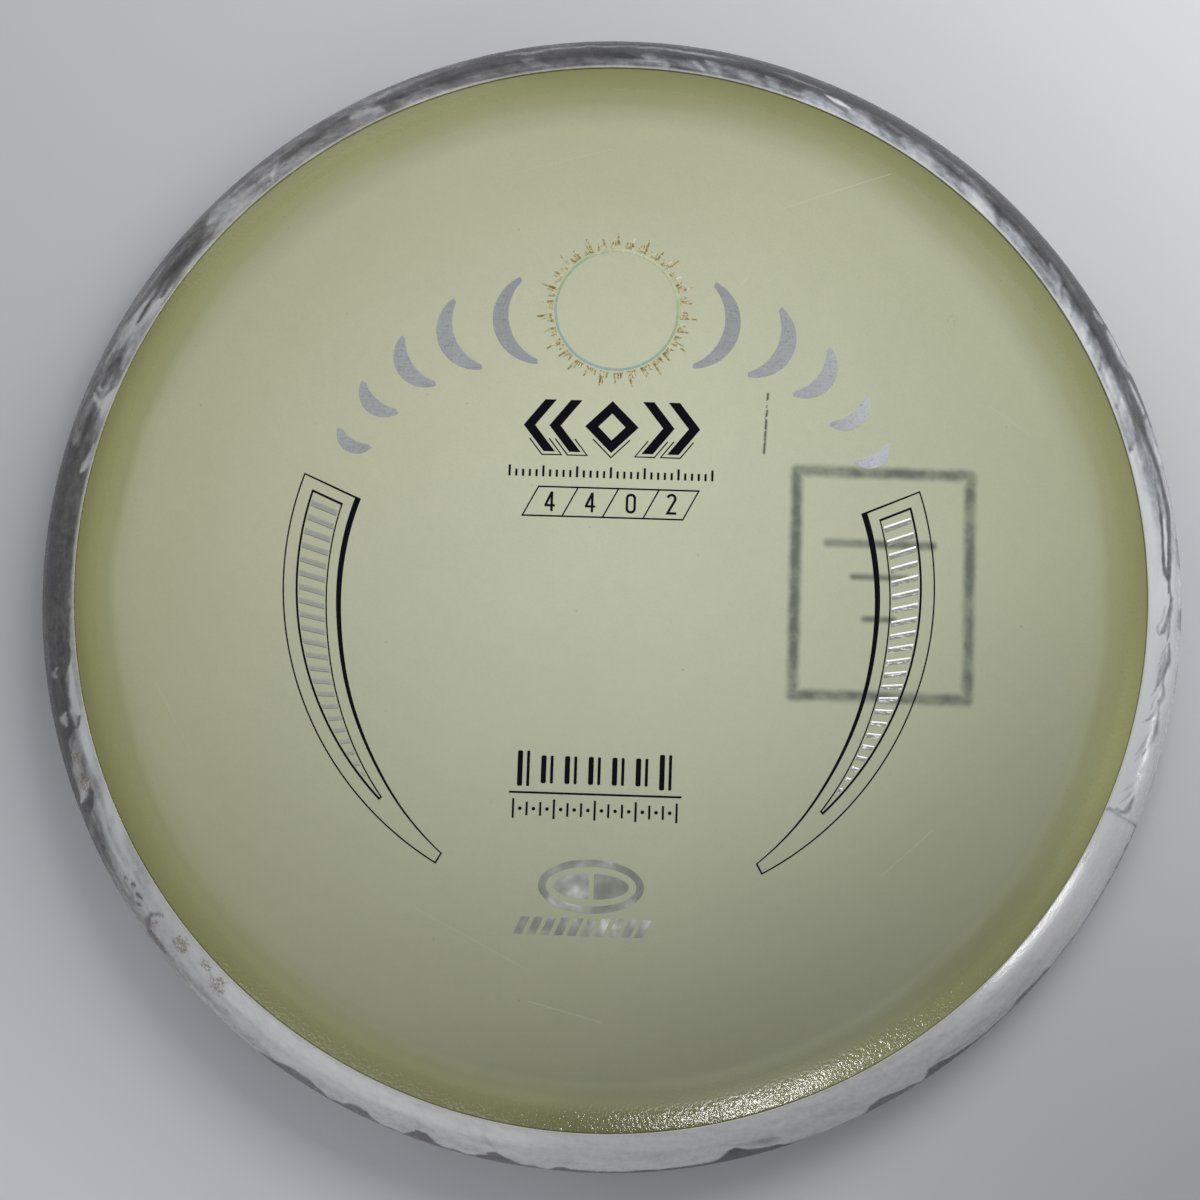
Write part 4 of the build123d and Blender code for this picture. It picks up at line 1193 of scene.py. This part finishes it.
class Net:
    """Builds the shader tree of a material or world. Positions are in millimetres."""

    def __init__(self, owner):
        owner.use_nodes = True
        self.owner, self.tree = owner, owner.node_tree

    def node(self, kind, inputs=(), out=0, **settings):
        node = self.tree.nodes.new("ShaderNode" + kind)
        for key, value in settings.items():
            setattr(node, key, value)
        fill(self.tree, node, inputs)
        return Value(self, node.outputs[out])

    def math(self, operation, *values, clamp=False):
        return self.node("Math", values, operation=operation, use_clamp=clamp)

    def vector(self, operation, *values, out=0):
        return self.node("VectorMath", values, out, operation=operation)

    def combine(self, x, y, z):
        return self.node("CombineXYZ", (x, y, z))

    @functools.cached_property
    def position(self):
        place = self.node("TexCoord", out="Object")
        return self.node("VectorMath", {0: place, 3: 1 / MM}, operation="SCALE")

    @functools.cached_property
    def axes(self):
        split = self.node("SeparateXYZ", (self.position,)).socket.node
        return [Value(self, socket) for socket in split.outputs]

    x = property(lambda self: self.axes[0])
    y = property(lambda self: self.axes[1])
    z = property(lambda self: self.axes[2])

    @functools.cached_property
    def xy(self):
        return self.combine(self.x, self.y, 0.0)

    def length(self, vector):
        return self.vector("LENGTH", vector, out=1)

    def radius(self):
        return self.length(self.xy)

    def turn(self):
        """Angle about Z, radians."""
        return self.y.atan2(self.x)

    def along(self, east, north):
        """Distance from the middle in the direction (east, north), that is (+X, +Y)."""
        return self.x * east + self.y * north

    def noise(self, scale, detail=2.0, rough=0.5, at=None, stretch=None):
        if stretch:
            at = self.vector("MULTIPLY", self.position, stretch)
        return self.node("TexNoise", {"Vector": at or self.position, "Scale": scale,
                                      "Detail": detail, "Roughness": rough})

    def attribute(self, name):
        return self.node("Attribute", out="Fac", attribute_name=name)

    def ramp(self, factor, stops):
        """stops: (place, colour), rising."""
        ramp = self.node("ValToRGB", (factor,))
        elements = ramp.socket.node.color_ramp.elements
        while len(elements) < len(stops):
            elements.new(0.5)
        for element, (place, colour) in zip(elements, stops):
            element.position = place
            element.color = (*colour, 1.0)
        return ramp

    def mix(self, factor, a, b, blend="MIX"):
        a, b = [(*c, 1.0) if isinstance(c, tuple) else c for c in (a, b)]
        return self.node("Mix", {0: factor, 6: a, 7: b}, 2, data_type="RGBA", blend_type=blend)

    def tint(self, colour, *gains):
        """Multiplies a colour by one gain, or by a gain each for red, green and blue."""
        if len(gains) == 1:
            gains = gains * 3
        return self.mix(1.0, colour, self.combine(*gains), blend="MULTIPLY")

    def segment(self, start, end, half_width, fade):
        """1 inside a stroke from start to end (mm, seen from above), softened by fade."""
        dx, dy = end[0] - start[0], end[1] - start[1]
        square = dx * dx + dy * dy
        px, py = self.x - start[0], self.y - start[1]
        place = self.math("MULTIPLY_ADD", px, dx / square, py * (dy / square), clamp=True)
        qx, qy = place.mul_add(-dx, px), place.mul_add(-dy, py)
        distance = qx.mul_add(qx, qy * qy).sqrt()
        return distance.step(half_width + fade, max(0.0, half_width - fade))

    def finish(self, colour, rough, relief, metallic=0.0, ior=1.5, specular=0.5):
        """relief is the bump height in mm."""
        normal = self.node("Bump", {"Strength": 1.0, "Distance": MM, "Height": relief})
        surface = self.node("BsdfPrincipled", {
            "Base Color": colour, "Roughness": rough, "Metallic": metallic, "IOR": ior,
            "Specular IOR Level": specular, "Coat Roughness": 0.1, "Normal": normal})
        self.node("OutputMaterial", (surface,)) if False else self.output(surface)
        return self.owner

    def output(self, surface):
        node = self.tree.nodes.new("ShaderNodeOutputMaterial")
        fill(self.tree, node, (surface,))


def blank(name):
    net = Net(bpy.data.materials.new(name))
    net.tree.nodes.clear()
    return net


# ------------------------------------------------------------------- materials
RAMP_R = 108.5      # radius at which the colour ramps of the core end, mm

# Painted light and shade on the core: a painted shadow towards +X -Y, painted shade on the band
# towards -Y, towards +Y and towards -X +Y, and a painted highlight on the shoulder towards +X -Y.
# Columns: ring steps (start, end), then direction and its start and end, gain.
CORE_PAINTED_LIGHT = [
    ([], (0.60, -0.80), (40.0, 92.0), -0.12),
    ([(91.5, 95.0)], (0.50, -0.87), (74.0, 92.0), -0.22),
    ([(95.0, 98.5)], (0.79, -0.62), (76.0, 94.0), 0.30),
    ([(87.5, 90.5), (94.0, 91.5)], (0.15, 0.985), (10.0, 62.0), -0.12),
    ([(97.5, 100.0)], (-0.90, 0.43), (35.0, 85.0), -0.11)]

# start, end, half width in mm
SCRATCHES = [
    ((30.96, 72.80), (51.22, 80.48), 0.09), ((23.3, 57.6), (24.6, 59.2), 0.16),
    ((-70.2, 18.5), (-58.4, 26.1), 0.05), ((-33.0, -61.0), (-12.0, -71.5), 0.05),
    ((8.0, -21.0), (21.5, -12.2), 0.045), ((-49.0, 8.0), (-38.5, -4.0), 0.045),
    ((-22.0, 78.0), (-2.0, 83.5), 0.05), ((52.0, -52.0), (61.0, -43.5), 0.06),
    ((-84.0, -20.0), (-76.0, -34.0), 0.05), ((12.0, 4.0), (14.5, 9.5), 0.05),
    ((70.0, 36.0), (78.0, 30.5), 0.05), ((-12.0, -77.0), (1.5, -80.4), 0.07)]
SCUFFS = [(-54.3, -74.6, 3.2), (-6.7, -77.9, 2.4), (63.0, 52.0, 2.0)]      # x, y, radius


def painted_core_light(net, r, u, w, up):
    """Painted light and shade over the top: a soft gradient by u and w (x and y over 100), darker
    towards -Y, painted light on the band, and local patches.
    """
    uu, ww = u * u, w * w
    rr = uu + ww
    tone = 1.173 + u * -0.099 + w * 0.18 + uu * -0.35 + ww * -0.572 + rr * rr * 0.263
    # painted light on the band, brighter towards -Y
    tone = tone + r.step(90.0, 96.0) * (0.20 + u * -0.048 + w * -0.26 + u * w * -0.208)
    for rings, direction, span, gain in CORE_PAINTED_LIGHT:
        masks = [r.step(*ring) for ring in rings] + [net.along(*direction).step(*span)]
        tone = tone + functools.reduce(operator.mul, masks) * gain
    tone = (tone * 0.5).clamp() * 2.0       # held between 0 and 2
    return tone * up + (1.0 - up)


def box_ghost(net, up):
    """The marker box on the underside, seen softly through the plate."""
    ox = abs(net.x - BOX_X) - (BOX_W / 2 - BOX_LINE / 2)
    oy = abs(net.y - BOX_Y) - (BOX_H / 2 - BOX_LINE / 2)
    outside = (ox.max(0.0) ** 2.0 + oy.max(0.0) ** 2.0).sqrt() + ox.max(oy).min(0.0)
    wander = (net.noise(scale=0.22, detail=3, rough=0.6) - 0.5) * 0.9
    ghost = abs(outside + wander).step(BOX_LINE / 2 + 0.75, BOX_LINE / 2 - 0.75)
    for y, w, t in INK_LINES:
        ghost = ghost.max(net.segment((BOX_X - 0.5 - w / 2 + t / 2, y),
                                      (BOX_X - 0.5 + w / 2 - t / 2, y), t / 2, fade=0.6))
    blot = net.noise(scale=0.24, detail=3, rough=0.55).step(0.34, 0.64).mul_add(0.30, 0.58)
    return ghost * up * blot


def core_material():
    """Pale sage plastic, a little see-through: light over the thin plate, olive over the wall."""
    net = blank("core_plastic")
    r = net.radius()
    up = net.z.step(12.9, 13.2)
    wobble = (net.noise(scale=0.05) - 0.5) * 1.6
    plate = net.ramp((r + wobble) / RAMP_R, [
        (0.0, (0.645, 0.675, 0.480)), (0.55, (0.645, 0.675, 0.480)),
        (0.78, (0.635, 0.665, 0.462)), (0.828, (0.630, 0.660, 0.450)),
        (0.845, (0.585, 0.615, 0.400)), (0.862, (0.446, 0.471, 0.262)),
        (0.885, (0.405, 0.424, 0.215)), (0.905, (0.372, 0.388, 0.185)),
        (0.927, (0.330, 0.345, 0.155))])
    under = net.ramp(r / RAMP_R, [(0.0, (0.62, 0.65, 0.465)), (0.82, (0.58, 0.61, 0.42)),
                                  (0.862, (0.45, 0.47, 0.27)), (0.90, (0.38, 0.40, 0.20))])
    outward = (r.min(91.0) / 90.0) ** 2.0       # painted light: the plate is painted brighter towards its middle
    u, w = net.x / 100.0, net.y / 100.0
    # painted light and shade over the top
    painted_light = outward.mul_add(-0.20, 1.0) * painted_core_light(net, r, u, w, up)
    plate = net.tint(plate, painted_light * u.mul_add(-0.012, 1.010), painted_light,
                     painted_light * u.mul_add(0.018, 0.990) * outward.mul_add(-0.075, 1.035))
    colour = net.mix(up, under, plate)
    cloud = net.noise(scale=0.028, detail=3, rough=0.55)
    grain = net.noise(scale=1.9, detail=2, rough=0.6)
    speck = net.noise(scale=0.45, detail=3, rough=0.6)
    colour = net.tint(colour, (cloud - 0.5) * 0.10 + (grain - 0.5) * 0.075
                      + (speck - 0.5) * 0.06 + 1.0)
    colour = net.mix(box_ghost(net, up), colour, (0.135, 0.150, 0.135))
    # wear: one dark rub, fine scratches, small scuffs
    rub = net.segment((28.77, 36.57), (28.30, 25.31), half_width=0.20, fade=0.22)
    rub = rub * net.noise(scale=0.62, detail=3, rough=0.65).step(0.44, 0.52) * up
    colour = net.mix(rub * 0.9, colour, (0.060, 0.042, 0.022))
    marks = (total(net.segment(a, b, width, width) for a, b, width in SCRATCHES) * up).clamp()
    colour = net.mix(marks * 0.28, colour, (0.78, 0.80, 0.70))
    scuff = total(net.length(net.vector("SUBTRACT", net.xy, (x, y, 0.0))).step(size, size * 0.3)
                  for x, y, size in SCUFFS)
    flecks = net.noise(scale=2.4, detail=3, rough=0.7).step(0.56, 0.66)
    scuff = scuff.clamp() * flecks * up
    colour = net.mix(scuff * 0.45, colour, (0.24, 0.25, 0.18))
    # sparse dust-like pits
    pit = net.node("TexVoronoi", {"Vector": net.position, "Scale": 0.33}).step(0.075, 0.045)
    pit = pit * net.noise(scale=0.11, detail=1).step(0.60, 0.66)
    colour = net.mix(pit * 0.35, colour, (0.20, 0.21, 0.15))
    # the shoulder is shinier and carries a fine orange-peel that runs outwards
    shoulder = r.step(94.4, 97.8) * up
    peel = net.noise(scale=1.0, at=net.combine(net.turn() * 146.0, r * 1.32, 0.0))
    peel_height = net.along(0.33, -0.94).step(10.0, 72.0).mul_add(0.078, 0.028)
    rough = (0.42 + (cloud - 0.5) * 0.10 + (grain - 0.5) * 0.10 + marks * 0.10 + scuff * 0.2
             + shoulder * -0.29)
    relief = (net.noise(scale=0.9, detail=3, rough=0.55) * 0.016
              + net.noise(scale=1.9, detail=2, rough=0.6) * 0.030
              + net.noise(scale=4.0, detail=2, rough=0.6) * 0.0035
              + marks * -0.012 + pit * -0.012 + scuff * -0.006 + peel * shoulder * peel_height)
    return net.finish(colour, rough, relief, ior=1.49)


def rim_material():
    """Marbled white and slate plastic, semi-gloss, with scuffs and a little ground-in dirt."""
    net = blank("rim_plastic")
    dark, dirt, across = net.attribute("dark"), net.attribute("dirt"), net.attribute("across")
    fine = net.noise(scale=0.85, detail=3, rough=0.6)
    tiny = net.noise(scale=3.2, detail=2, rough=0.6)
    mixed = dark * (1.0 - dark) * 4.0
    drawn = net.combine(net.turn() * 108.0 * 0.50, net.radius() * 1.15, net.z * 1.15)
    fibre = net.noise(scale=1.0, detail=5, rough=0.68, at=drawn)
    tone = (dark + (fine - 0.5) * 0.34 * mixed
            + (fibre - 0.5) * 0.50 * (mixed * dark.step(0.20, 0.42)) + (tiny - 0.5) * 0.05)
    colour = net.ramp(tone, [
        (0.0, (0.80, 0.81, 0.84)), (0.12, (0.70, 0.705, 0.73)), (0.30, (0.46, 0.465, 0.475)),
        (0.52, (0.250, 0.252, 0.260)), (0.78, (0.126, 0.127, 0.133)),
        (1.0, (0.060, 0.060, 0.065))])
    # the dark compound is mottled and a little warm; the +X +Y side is cooler
    mottle = tone.step(0.45, 0.75) * (net.noise(scale=0.55, detail=4, rough=0.6) - 0.5)
    mottle = mottle.mul_add(0.9, 1.0)
    warm = tone.step(0.40, 0.75)
    colour = net.tint(colour, mottle * warm.mul_add(0.02, 1.0), mottle,
                      mottle * warm.mul_add(-0.025, 1.0))
    cool = net.along(0.72, 0.69).step(10.0, 85.0) * tone.step(0.10, 0.40).mul_add(0.75, 0.25)
    colour = net.tint(colour, cool.mul_add(-0.045, 1.012), cool.mul_add(-0.012, 1.0),
                      cool.mul_add(0.075, 0.985))
    # the core's colour shines through the thin edge
    colour = net.mix(across.step(0.10, 0.0) * 0.55, colour, (0.62, 0.63, 0.50))
    soil = dirt * 0.9 + (net.noise(scale=1.0, detail=5, rough=0.78) - 0.5) * 2.0
    broken = net.noise(scale=2.3, detail=4, rough=0.7).step(0.43, 0.57).mul_add(0.80, 0.14)
    soil = soil.step(0.26, 0.80) * dirt.step(0.02, 0.22) * broken
    soil_colour = net.mix(net.noise(scale=0.9).step(0.42, 0.58),
                          (0.30, 0.22, 0.13), (0.085, 0.075, 0.07))
    colour = net.mix(soil * 0.85, colour, soil_colour)
    # ground-in grime specks, mostly on the outer half
    r = net.radius()
    grime = net.noise(scale=1.3, detail=4, rough=0.7).step(0.62, 0.72) * r.step(102.5, 107.5)
    colour = net.mix(grime * 0.30, colour, (0.12, 0.115, 0.11))
    scuff = net.noise(scale=0.7, detail=4, rough=0.7, stretch=(1.0, 1.0, 3.0)).step(0.52, 0.70)
    scuff = scuff * r.step(104.0, 108.0)
    rough = (0.24 + scuff * 0.34 + (fine - 0.5) * 0.14 + soil * 0.30 + dark * 0.04
             + across.step(0.24, 0.08) * -0.11)
    # fine drag marks round the lip, next to the joint line
    drag = net.noise(scale=1.0, detail=3, rough=0.6,
                     at=net.combine(net.turn() * 62.0, r * 2.6, 0.0))
    relief = (net.noise(scale=1.1, detail=3, rough=0.6) * 0.014
              + net.noise(scale=3.6, detail=3, rough=0.65) * scuff.mul_add(0.030, 0.004)
              + grime * -0.02 + drag * across.step(0.45, 0.15) * 0.030)
    return net.finish(colour, rough, relief)


def silver_material():
    """Silver foil: brighter away from the dial, with a painted highlight far out on +X, and cloudy
    on the emblem with painted highlights in its palest patches.
    """
    net = blank("silver_foil")
    cloud = net.noise(scale=0.12, detail=3, rough=0.6)
    fleck = net.noise(scale=1.9, detail=3, rough=0.7).step(0.53, 0.63)
    hair = net.noise(scale=1.0, detail=3, rough=0.7, stretch=(0.30, 2.6, 1.0)).step(0.48, 0.66)
    low = net.y.step(-45.0, -52.0)
    away = abs(net.x).step(10.0, 46.0).mul_add(0.6, net.y.step(62.0, 36.0) * 0.55).clamp()
    colour = net.mix((fleck + hair * 0.8) * 0.34,
                     net.mix(away, (0.50, 0.508, 0.525), (0.66, 0.675, 0.69)),
                     (0.34, 0.345, 0.35))
    # painted highlight: far out on +X the foil is painted near white
    colour = net.mix(net.x.step(37.0, 50.0) * fleck.mul_add(-0.35, 0.85), colour,
                     (0.90, 0.918, 0.94))
    # on the emblem a cloudy tone, its palest patches painted highlights
    colour = net.mix(low, colour, net.ramp(cloud, [
        (0.40, (0.35, 0.36, 0.32)), (0.50, (0.44, 0.45, 0.40)),
        (0.58, (0.58, 0.59, 0.54)), (0.68, (0.92, 0.93, 0.88))]))
    colour = net.tint(colour, cloud.mul_add(0.4, 0.80))
    rough = 0.44 + cloud * 0.08 + fleck * 0.14 + hair * 0.06 + low * -0.12
    relief = net.noise(scale=1.3, detail=3, rough=0.6) * 0.012 + hair * -0.003
    return net.finish(colour, rough, relief, metallic=low.mul_add(-0.15, 0.35))


def rung_material():
    """Silver leaf on the rungs: worn thin, with painted highlights as bright unbroken edges on the
    +X side.
    """
    net = blank("rung_foil")
    edge = net.attribute("edge")
    grit = net.noise(scale=1.4, detail=4, rough=0.7, stretch=(0.7, 2.2, 1.0))
    side = net.x.step(-5.0, 5.0)
    jag = (net.noise(scale=1.6, detail=3, rough=0.6) - 0.5) * 0.9
    line = (edge + jag * 0.30).step(0.30, 0.44) * edge.step(1.01, 0.94)
    worn = net.y.step(12.0, -18.0)      # towards -Y the leaf is torn into flakes
    flakes_and_glints = grit.step(0.50, 0.62) * (edge.step(0.30, 0.12) * worn.mul_add(0.80, 0.16))
    colour = net.mix(side, (0.575, 0.595, 0.495), (0.262, 0.270, 0.228))
    # bright bits of torn leaf, painted as glints, strongest on the +X side
    colour = net.mix(flakes_and_glints * side.mul_add(0.7, 0.25), colour, (0.96, 0.97, 0.97))
    # painted highlight: a white line along the upper edge, strongest on the +X side
    colour = net.mix(line * side.mul_add(0.88, 0.12), colour, (1.0, 1.0, 1.0))
    # painted shade: a dark lower edge and a thin dark gap below the middle
    gap = edge.step(0.05, -0.06) * edge.step(-0.36, -0.22)
    shade = (edge.step(-0.62, -0.84) * side.mul_add(-0.50, 0.50)
             + gap * side.mul_add(0.02, 0.16)).clamp()
    colour = net.mix(shade, colour, net.mix(side, (0.13, 0.135, 0.12), (0.075, 0.078, 0.07)))
    relief = grit * 0.04 + net.noise(scale=3.0) * 0.010 + line * 0.03
    return net.finish(colour, line.mul_add(-0.14, 0.40), relief, metallic=0.2)


def gold_material():
    """Dial foil: a ring that shifts from yellow to blue-green, and flaky gold rays whose palest
    flecks are painted glints.
    """
    net = blank("gold_foil")
    dx, dy = net.x - DIAL[0], net.y - DIAL[1]
    turn = dy.atan2(dx)
    ring = dx.mul_add(dx, dy * dy).sqrt().step(11.98, 11.86)
    hue = (turn + 0.5).sine().mul_add(-0.42, 0.45)
    shimmer = net.noise(scale=0.8, detail=3, rough=0.6)
    ring_colour = net.ramp((shimmer - 0.5).mul_add(0.9, hue).clamp(), [
        (0.0, (0.86, 0.88, 0.58)), (0.32, (0.50, 0.67, 0.38)),
        (0.66, (0.50, 0.68, 0.52)), (1.0, (0.47, 0.65, 0.70))])
    # flaky gold rays, the palest flecks painted glints
    leaf = net.ramp(net.noise(scale=1.1, detail=3, rough=0.7), [
        (0.38, (0.30, 0.24, 0.10)), (0.47, (0.55, 0.46, 0.21)),
        (0.55, (0.84, 0.77, 0.43)), (0.63, (1.0, 0.98, 0.80))])
    relief = net.noise(scale=1.6, detail=3, rough=0.65) * 0.03
    return net.finish(net.mix(ring, leaf, ring_colour), shimmer.mul_add(0.12, 0.22), relief,
                      metallic=0.2)


def black_material():
    net = blank("black_foil")
    worn = net.noise(scale=1.4, detail=5, rough=0.72).step(0.60, 0.74)
    nick = net.noise(scale=2.2, detail=4, rough=0.75, stretch=(1.0, 2.6, 1.0)).step(0.68, 0.74)
    colour = net.mix(worn * 0.5, (0.0030, 0.0030, 0.0075), (0.016, 0.017, 0.022))
    colour = net.mix(nick * 0.35, colour, (0.42, 0.45, 0.33))
    rough = 0.34 + worn * 0.20 + nick * 0.2
    relief = net.noise(scale=1.2, detail=3, rough=0.6) * 0.008 + nick * -0.02
    return net.finish(colour, rough, relief, specular=0.22)


def ink_material():
    net = blank("marker_ink")
    blot = net.noise(scale=0.6, detail=4, rough=0.7)
    colour = net.mix(blot, (0.018, 0.019, 0.022), (0.055, 0.057, 0.06))
    return net.finish(colour, blot.mul_add(0.2, 0.4), net.noise(scale=2.0) * 0.006)


materials = {"core_plastic": core_material(), "rim_plastic": rim_material(),
             "silver_foil": silver_material(), "gold_foil": gold_material(),
             "black_foil": black_material(), "marker_ink": ink_material(),
             "rung_foil": rung_material()}
plan = [(core, "core", "core_plastic"), (rim, "overmould_rim", "rim_plastic")]
plan += [(pieces[node], node, material) for node, _, _, _, material in FOILS]
plan += [(name_box, "name_box_ink", "marker_ink")]
for ob, node, material in plan:
    ob.data.materials.append(materials[material])
    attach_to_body(ob, "root")
    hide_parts(node)

# ----------------------------------------------------------------------- floor
BACKDROP = (0.52, 0.525, 0.55, 1)
FLOOR_HALF, FLOOR_Z = 4, -0.0004
OPEN_R = 0.0925         # the floor is clear under the hollow of the disc
# round patches of painted light and shadow on the floor, a painted shadow at +X -Y and painted pools
# of light at +X +Y and -X -Y: centre, inner and outer radius, tone inside and outside
FLOOR_PAINTED_LIGHT = [((0.17, -0.15, 0.0), 0.02, 0.17, 0.66, 1.0),
               ((0.18, 0.10, 0.0), 0.02, 0.20, 1.09, 1.0),
               ((-0.15, -0.15, 0.0), 0.02, 0.17, 1.16, 1.0)]


def floor_material():
    net = Net(bpy.data.materials.new("floor"))
    place = net.node("NewGeometry", out="Position")
    # painted light and shadow on the floor
    tone = functools.reduce(operator.mul, [
        net.vector("DISTANCE", place, centre, out="Value").step(*fade)
        for centre, *fade in FLOOR_PAINTED_LIGHT])
    pale = net.node("VectorMath", {0: (0.72, 0.722, 0.755), "Scale": tone}, operation="SCALE")
    surface = net.tree.nodes["Principled BSDF"]
    fill(net.tree, surface, {"Base Color": pale, "Roughness": 0.75, "Specular IOR Level": 0.25})
    reach = net.length(place)
    # clear from below and under the hollow, so that the underside of the disc gets some light
    clear = net.node("NewGeometry", out="Backfacing").max(reach.less_than(OPEN_R))
    # far away the floor runs into the backdrop, for the camera's eye only
    haze = reach.step(0.22, 1.10) * net.node("LightPath", out="Is Camera Ray")
    seen = net.node("MixShader", (haze, Value(net, surface.outputs[0]),
                                  net.node("Emission", (BACKDROP,))))
    mixed = net.node("MixShader", (clear, seen, net.node("BsdfTransparent")))
    fill(net.tree, net.tree.nodes["Material Output"], (mixed,))
    return net.owner


floor = new_object("floor", [(x * FLOOR_HALF, y * FLOOR_HALF, FLOOR_Z)
                             for x, y in ((-1, -1), (1, -1), (1, 1), (-1, 1))],
                   [(0, 1, 2, 3)], shade_smooth=False)
floor.data.materials.append(floor_material())

# ----------------------------------------------------------------------- world
scene = bpy.context.scene


def build_world():
    """The backdrop that the camera sees is paler than the light that the room gives."""
    net = Net(bpy.data.worlds.new("studio"))
    room = net.tree.nodes["Background"]
    fill(net.tree, room, ((0.80, 0.82, 0.86, 1), 0.25))
    pick = net.node("MixShader", (net.node("LightPath", out="Is Camera Ray"),
                                  Value(net, room.outputs[0]),
                                  net.node("Background", (BACKDROP,))))
    fill(net.tree, net.tree.nodes["World Output"], (pick,))
    return net.owner


scene.world = build_world()


# ---------------------------------------------------------------------- lights
def panel(name, place, aim, size, radiance, color=(1, 1, 1)):
    """A rectangular lamp facing aim, hidden from the camera."""
    w, h = size
    data = bpy.data.lights.new(name, "AREA")
    data.shape, data.size, data.size_y = "RECTANGLE", w, h
    data.energy = radiance * math.pi * w * h
    data.spread = math.pi
    data.color = color
    ob = bpy.data.objects.new(name, data)
    scene.collection.objects.link(ob)
    place, aim = Vector(place), Vector(aim)
    facing = (place - aim).to_track_quat("Z", "Y").to_matrix().to_4x4()
    ob.matrix_world = Matrix.Translation(place) @ facing
    ob.visible_camera = False
    return ob


def toward(direction, distance):
    return tuple(Vector((0.0, 0.0, 0.01)) + Vector(direction).normalized() * distance)


def only_on(lamp, ob):
    """The lamp lights nothing but one piece."""
    group = bpy.data.collections.new("lit_by_" + lamp.name)
    group.objects.link(ob)
    lamp.light_linking.receiver_collection = group


def glint(name, ob, **settings):
    """A small lamp that is only there to be mirrored in the gloss of one piece."""
    lamp = panel(name, **settings)
    lamp.visible_diffuse = False
    only_on(lamp, ob)


MIDDLE = (0.0, 0.0, 0.01)
key = panel("key", (0.17, 0.33, 0.36), (0.04, 0.08, 0.0), size=(0.34, 0.18), radiance=4.9,
            color=(1.0, 0.995, 0.98))
right = panel("right", (0.37, 0.31, 0.24), MIDDLE, size=(0.32, 0.20), radiance=3.9,
              color=(1.0, 0.998, 0.99))
key.visible_glossy = right.visible_glossy = False
panel("near_left", (-0.21, -0.40, 0.20), MIDDLE, size=(0.34, 0.18), radiance=2.5)
panel("far_left", (-0.26, 0.43, 0.22), MIDDLE, size=(0.34, 0.18), radiance=1.1)
glint("lip", rim, place=toward((0.69, -0.41, 0.575), 1.1), aim=(0.07, -0.05, 0.012),
      size=(0.26, 0.055), radiance=44.0)
glint("seam", core, place=toward((0.43, -0.66, 0.55), 1.1), aim=(0.05, -0.07, 0.012),
      size=(0.30, 0.04), radiance=12.0)
glint("band", core, place=toward((0.246, -0.716, 0.74), 1.1), aim=(0.03, -0.09, 0.012),
      size=(0.17, 0.06), radiance=85.0)
leaf_lamp = panel("leaf", toward((0.45, 0.30, 0.84), 1.0), (0.05, 0.0, 0.012),
                  size=(0.20, 0.20), radiance=38.0)
leaf_lamp.visible_glossy = False
only_on(leaf_lamp, pieces["rungs_right_foil"])
glint("low", rim, place=(1.2, -0.18, 0.12), aim=(0.1, -0.02, 0.008), size=(0.12, 0.09),
      radiance=38.0)

# ---------------------------------------------------------------------- camera
camera_data = bpy.data.cameras.new("camera")
camera_data.lens, camera_data.sensor_width = 66.0, 36.0
camera_data.clip_start, camera_data.clip_end = 0.02, 50.0
camera = bpy.data.objects.new("camera", camera_data)
scene.collection.objects.link(camera)
camera.matrix_world = (Matrix.Rotation(rad(SHADE_TILT), 4, "Z")
                       @ Matrix.Translation((0.0071, -0.0503, 0.4233))
                       @ Matrix.Rotation(rad(6.64), 4, "X") @ Matrix.Rotation(rad(1.20), 4, "Y"))
scene.camera = camera
scene.view_settings.view_transform = "Standard"
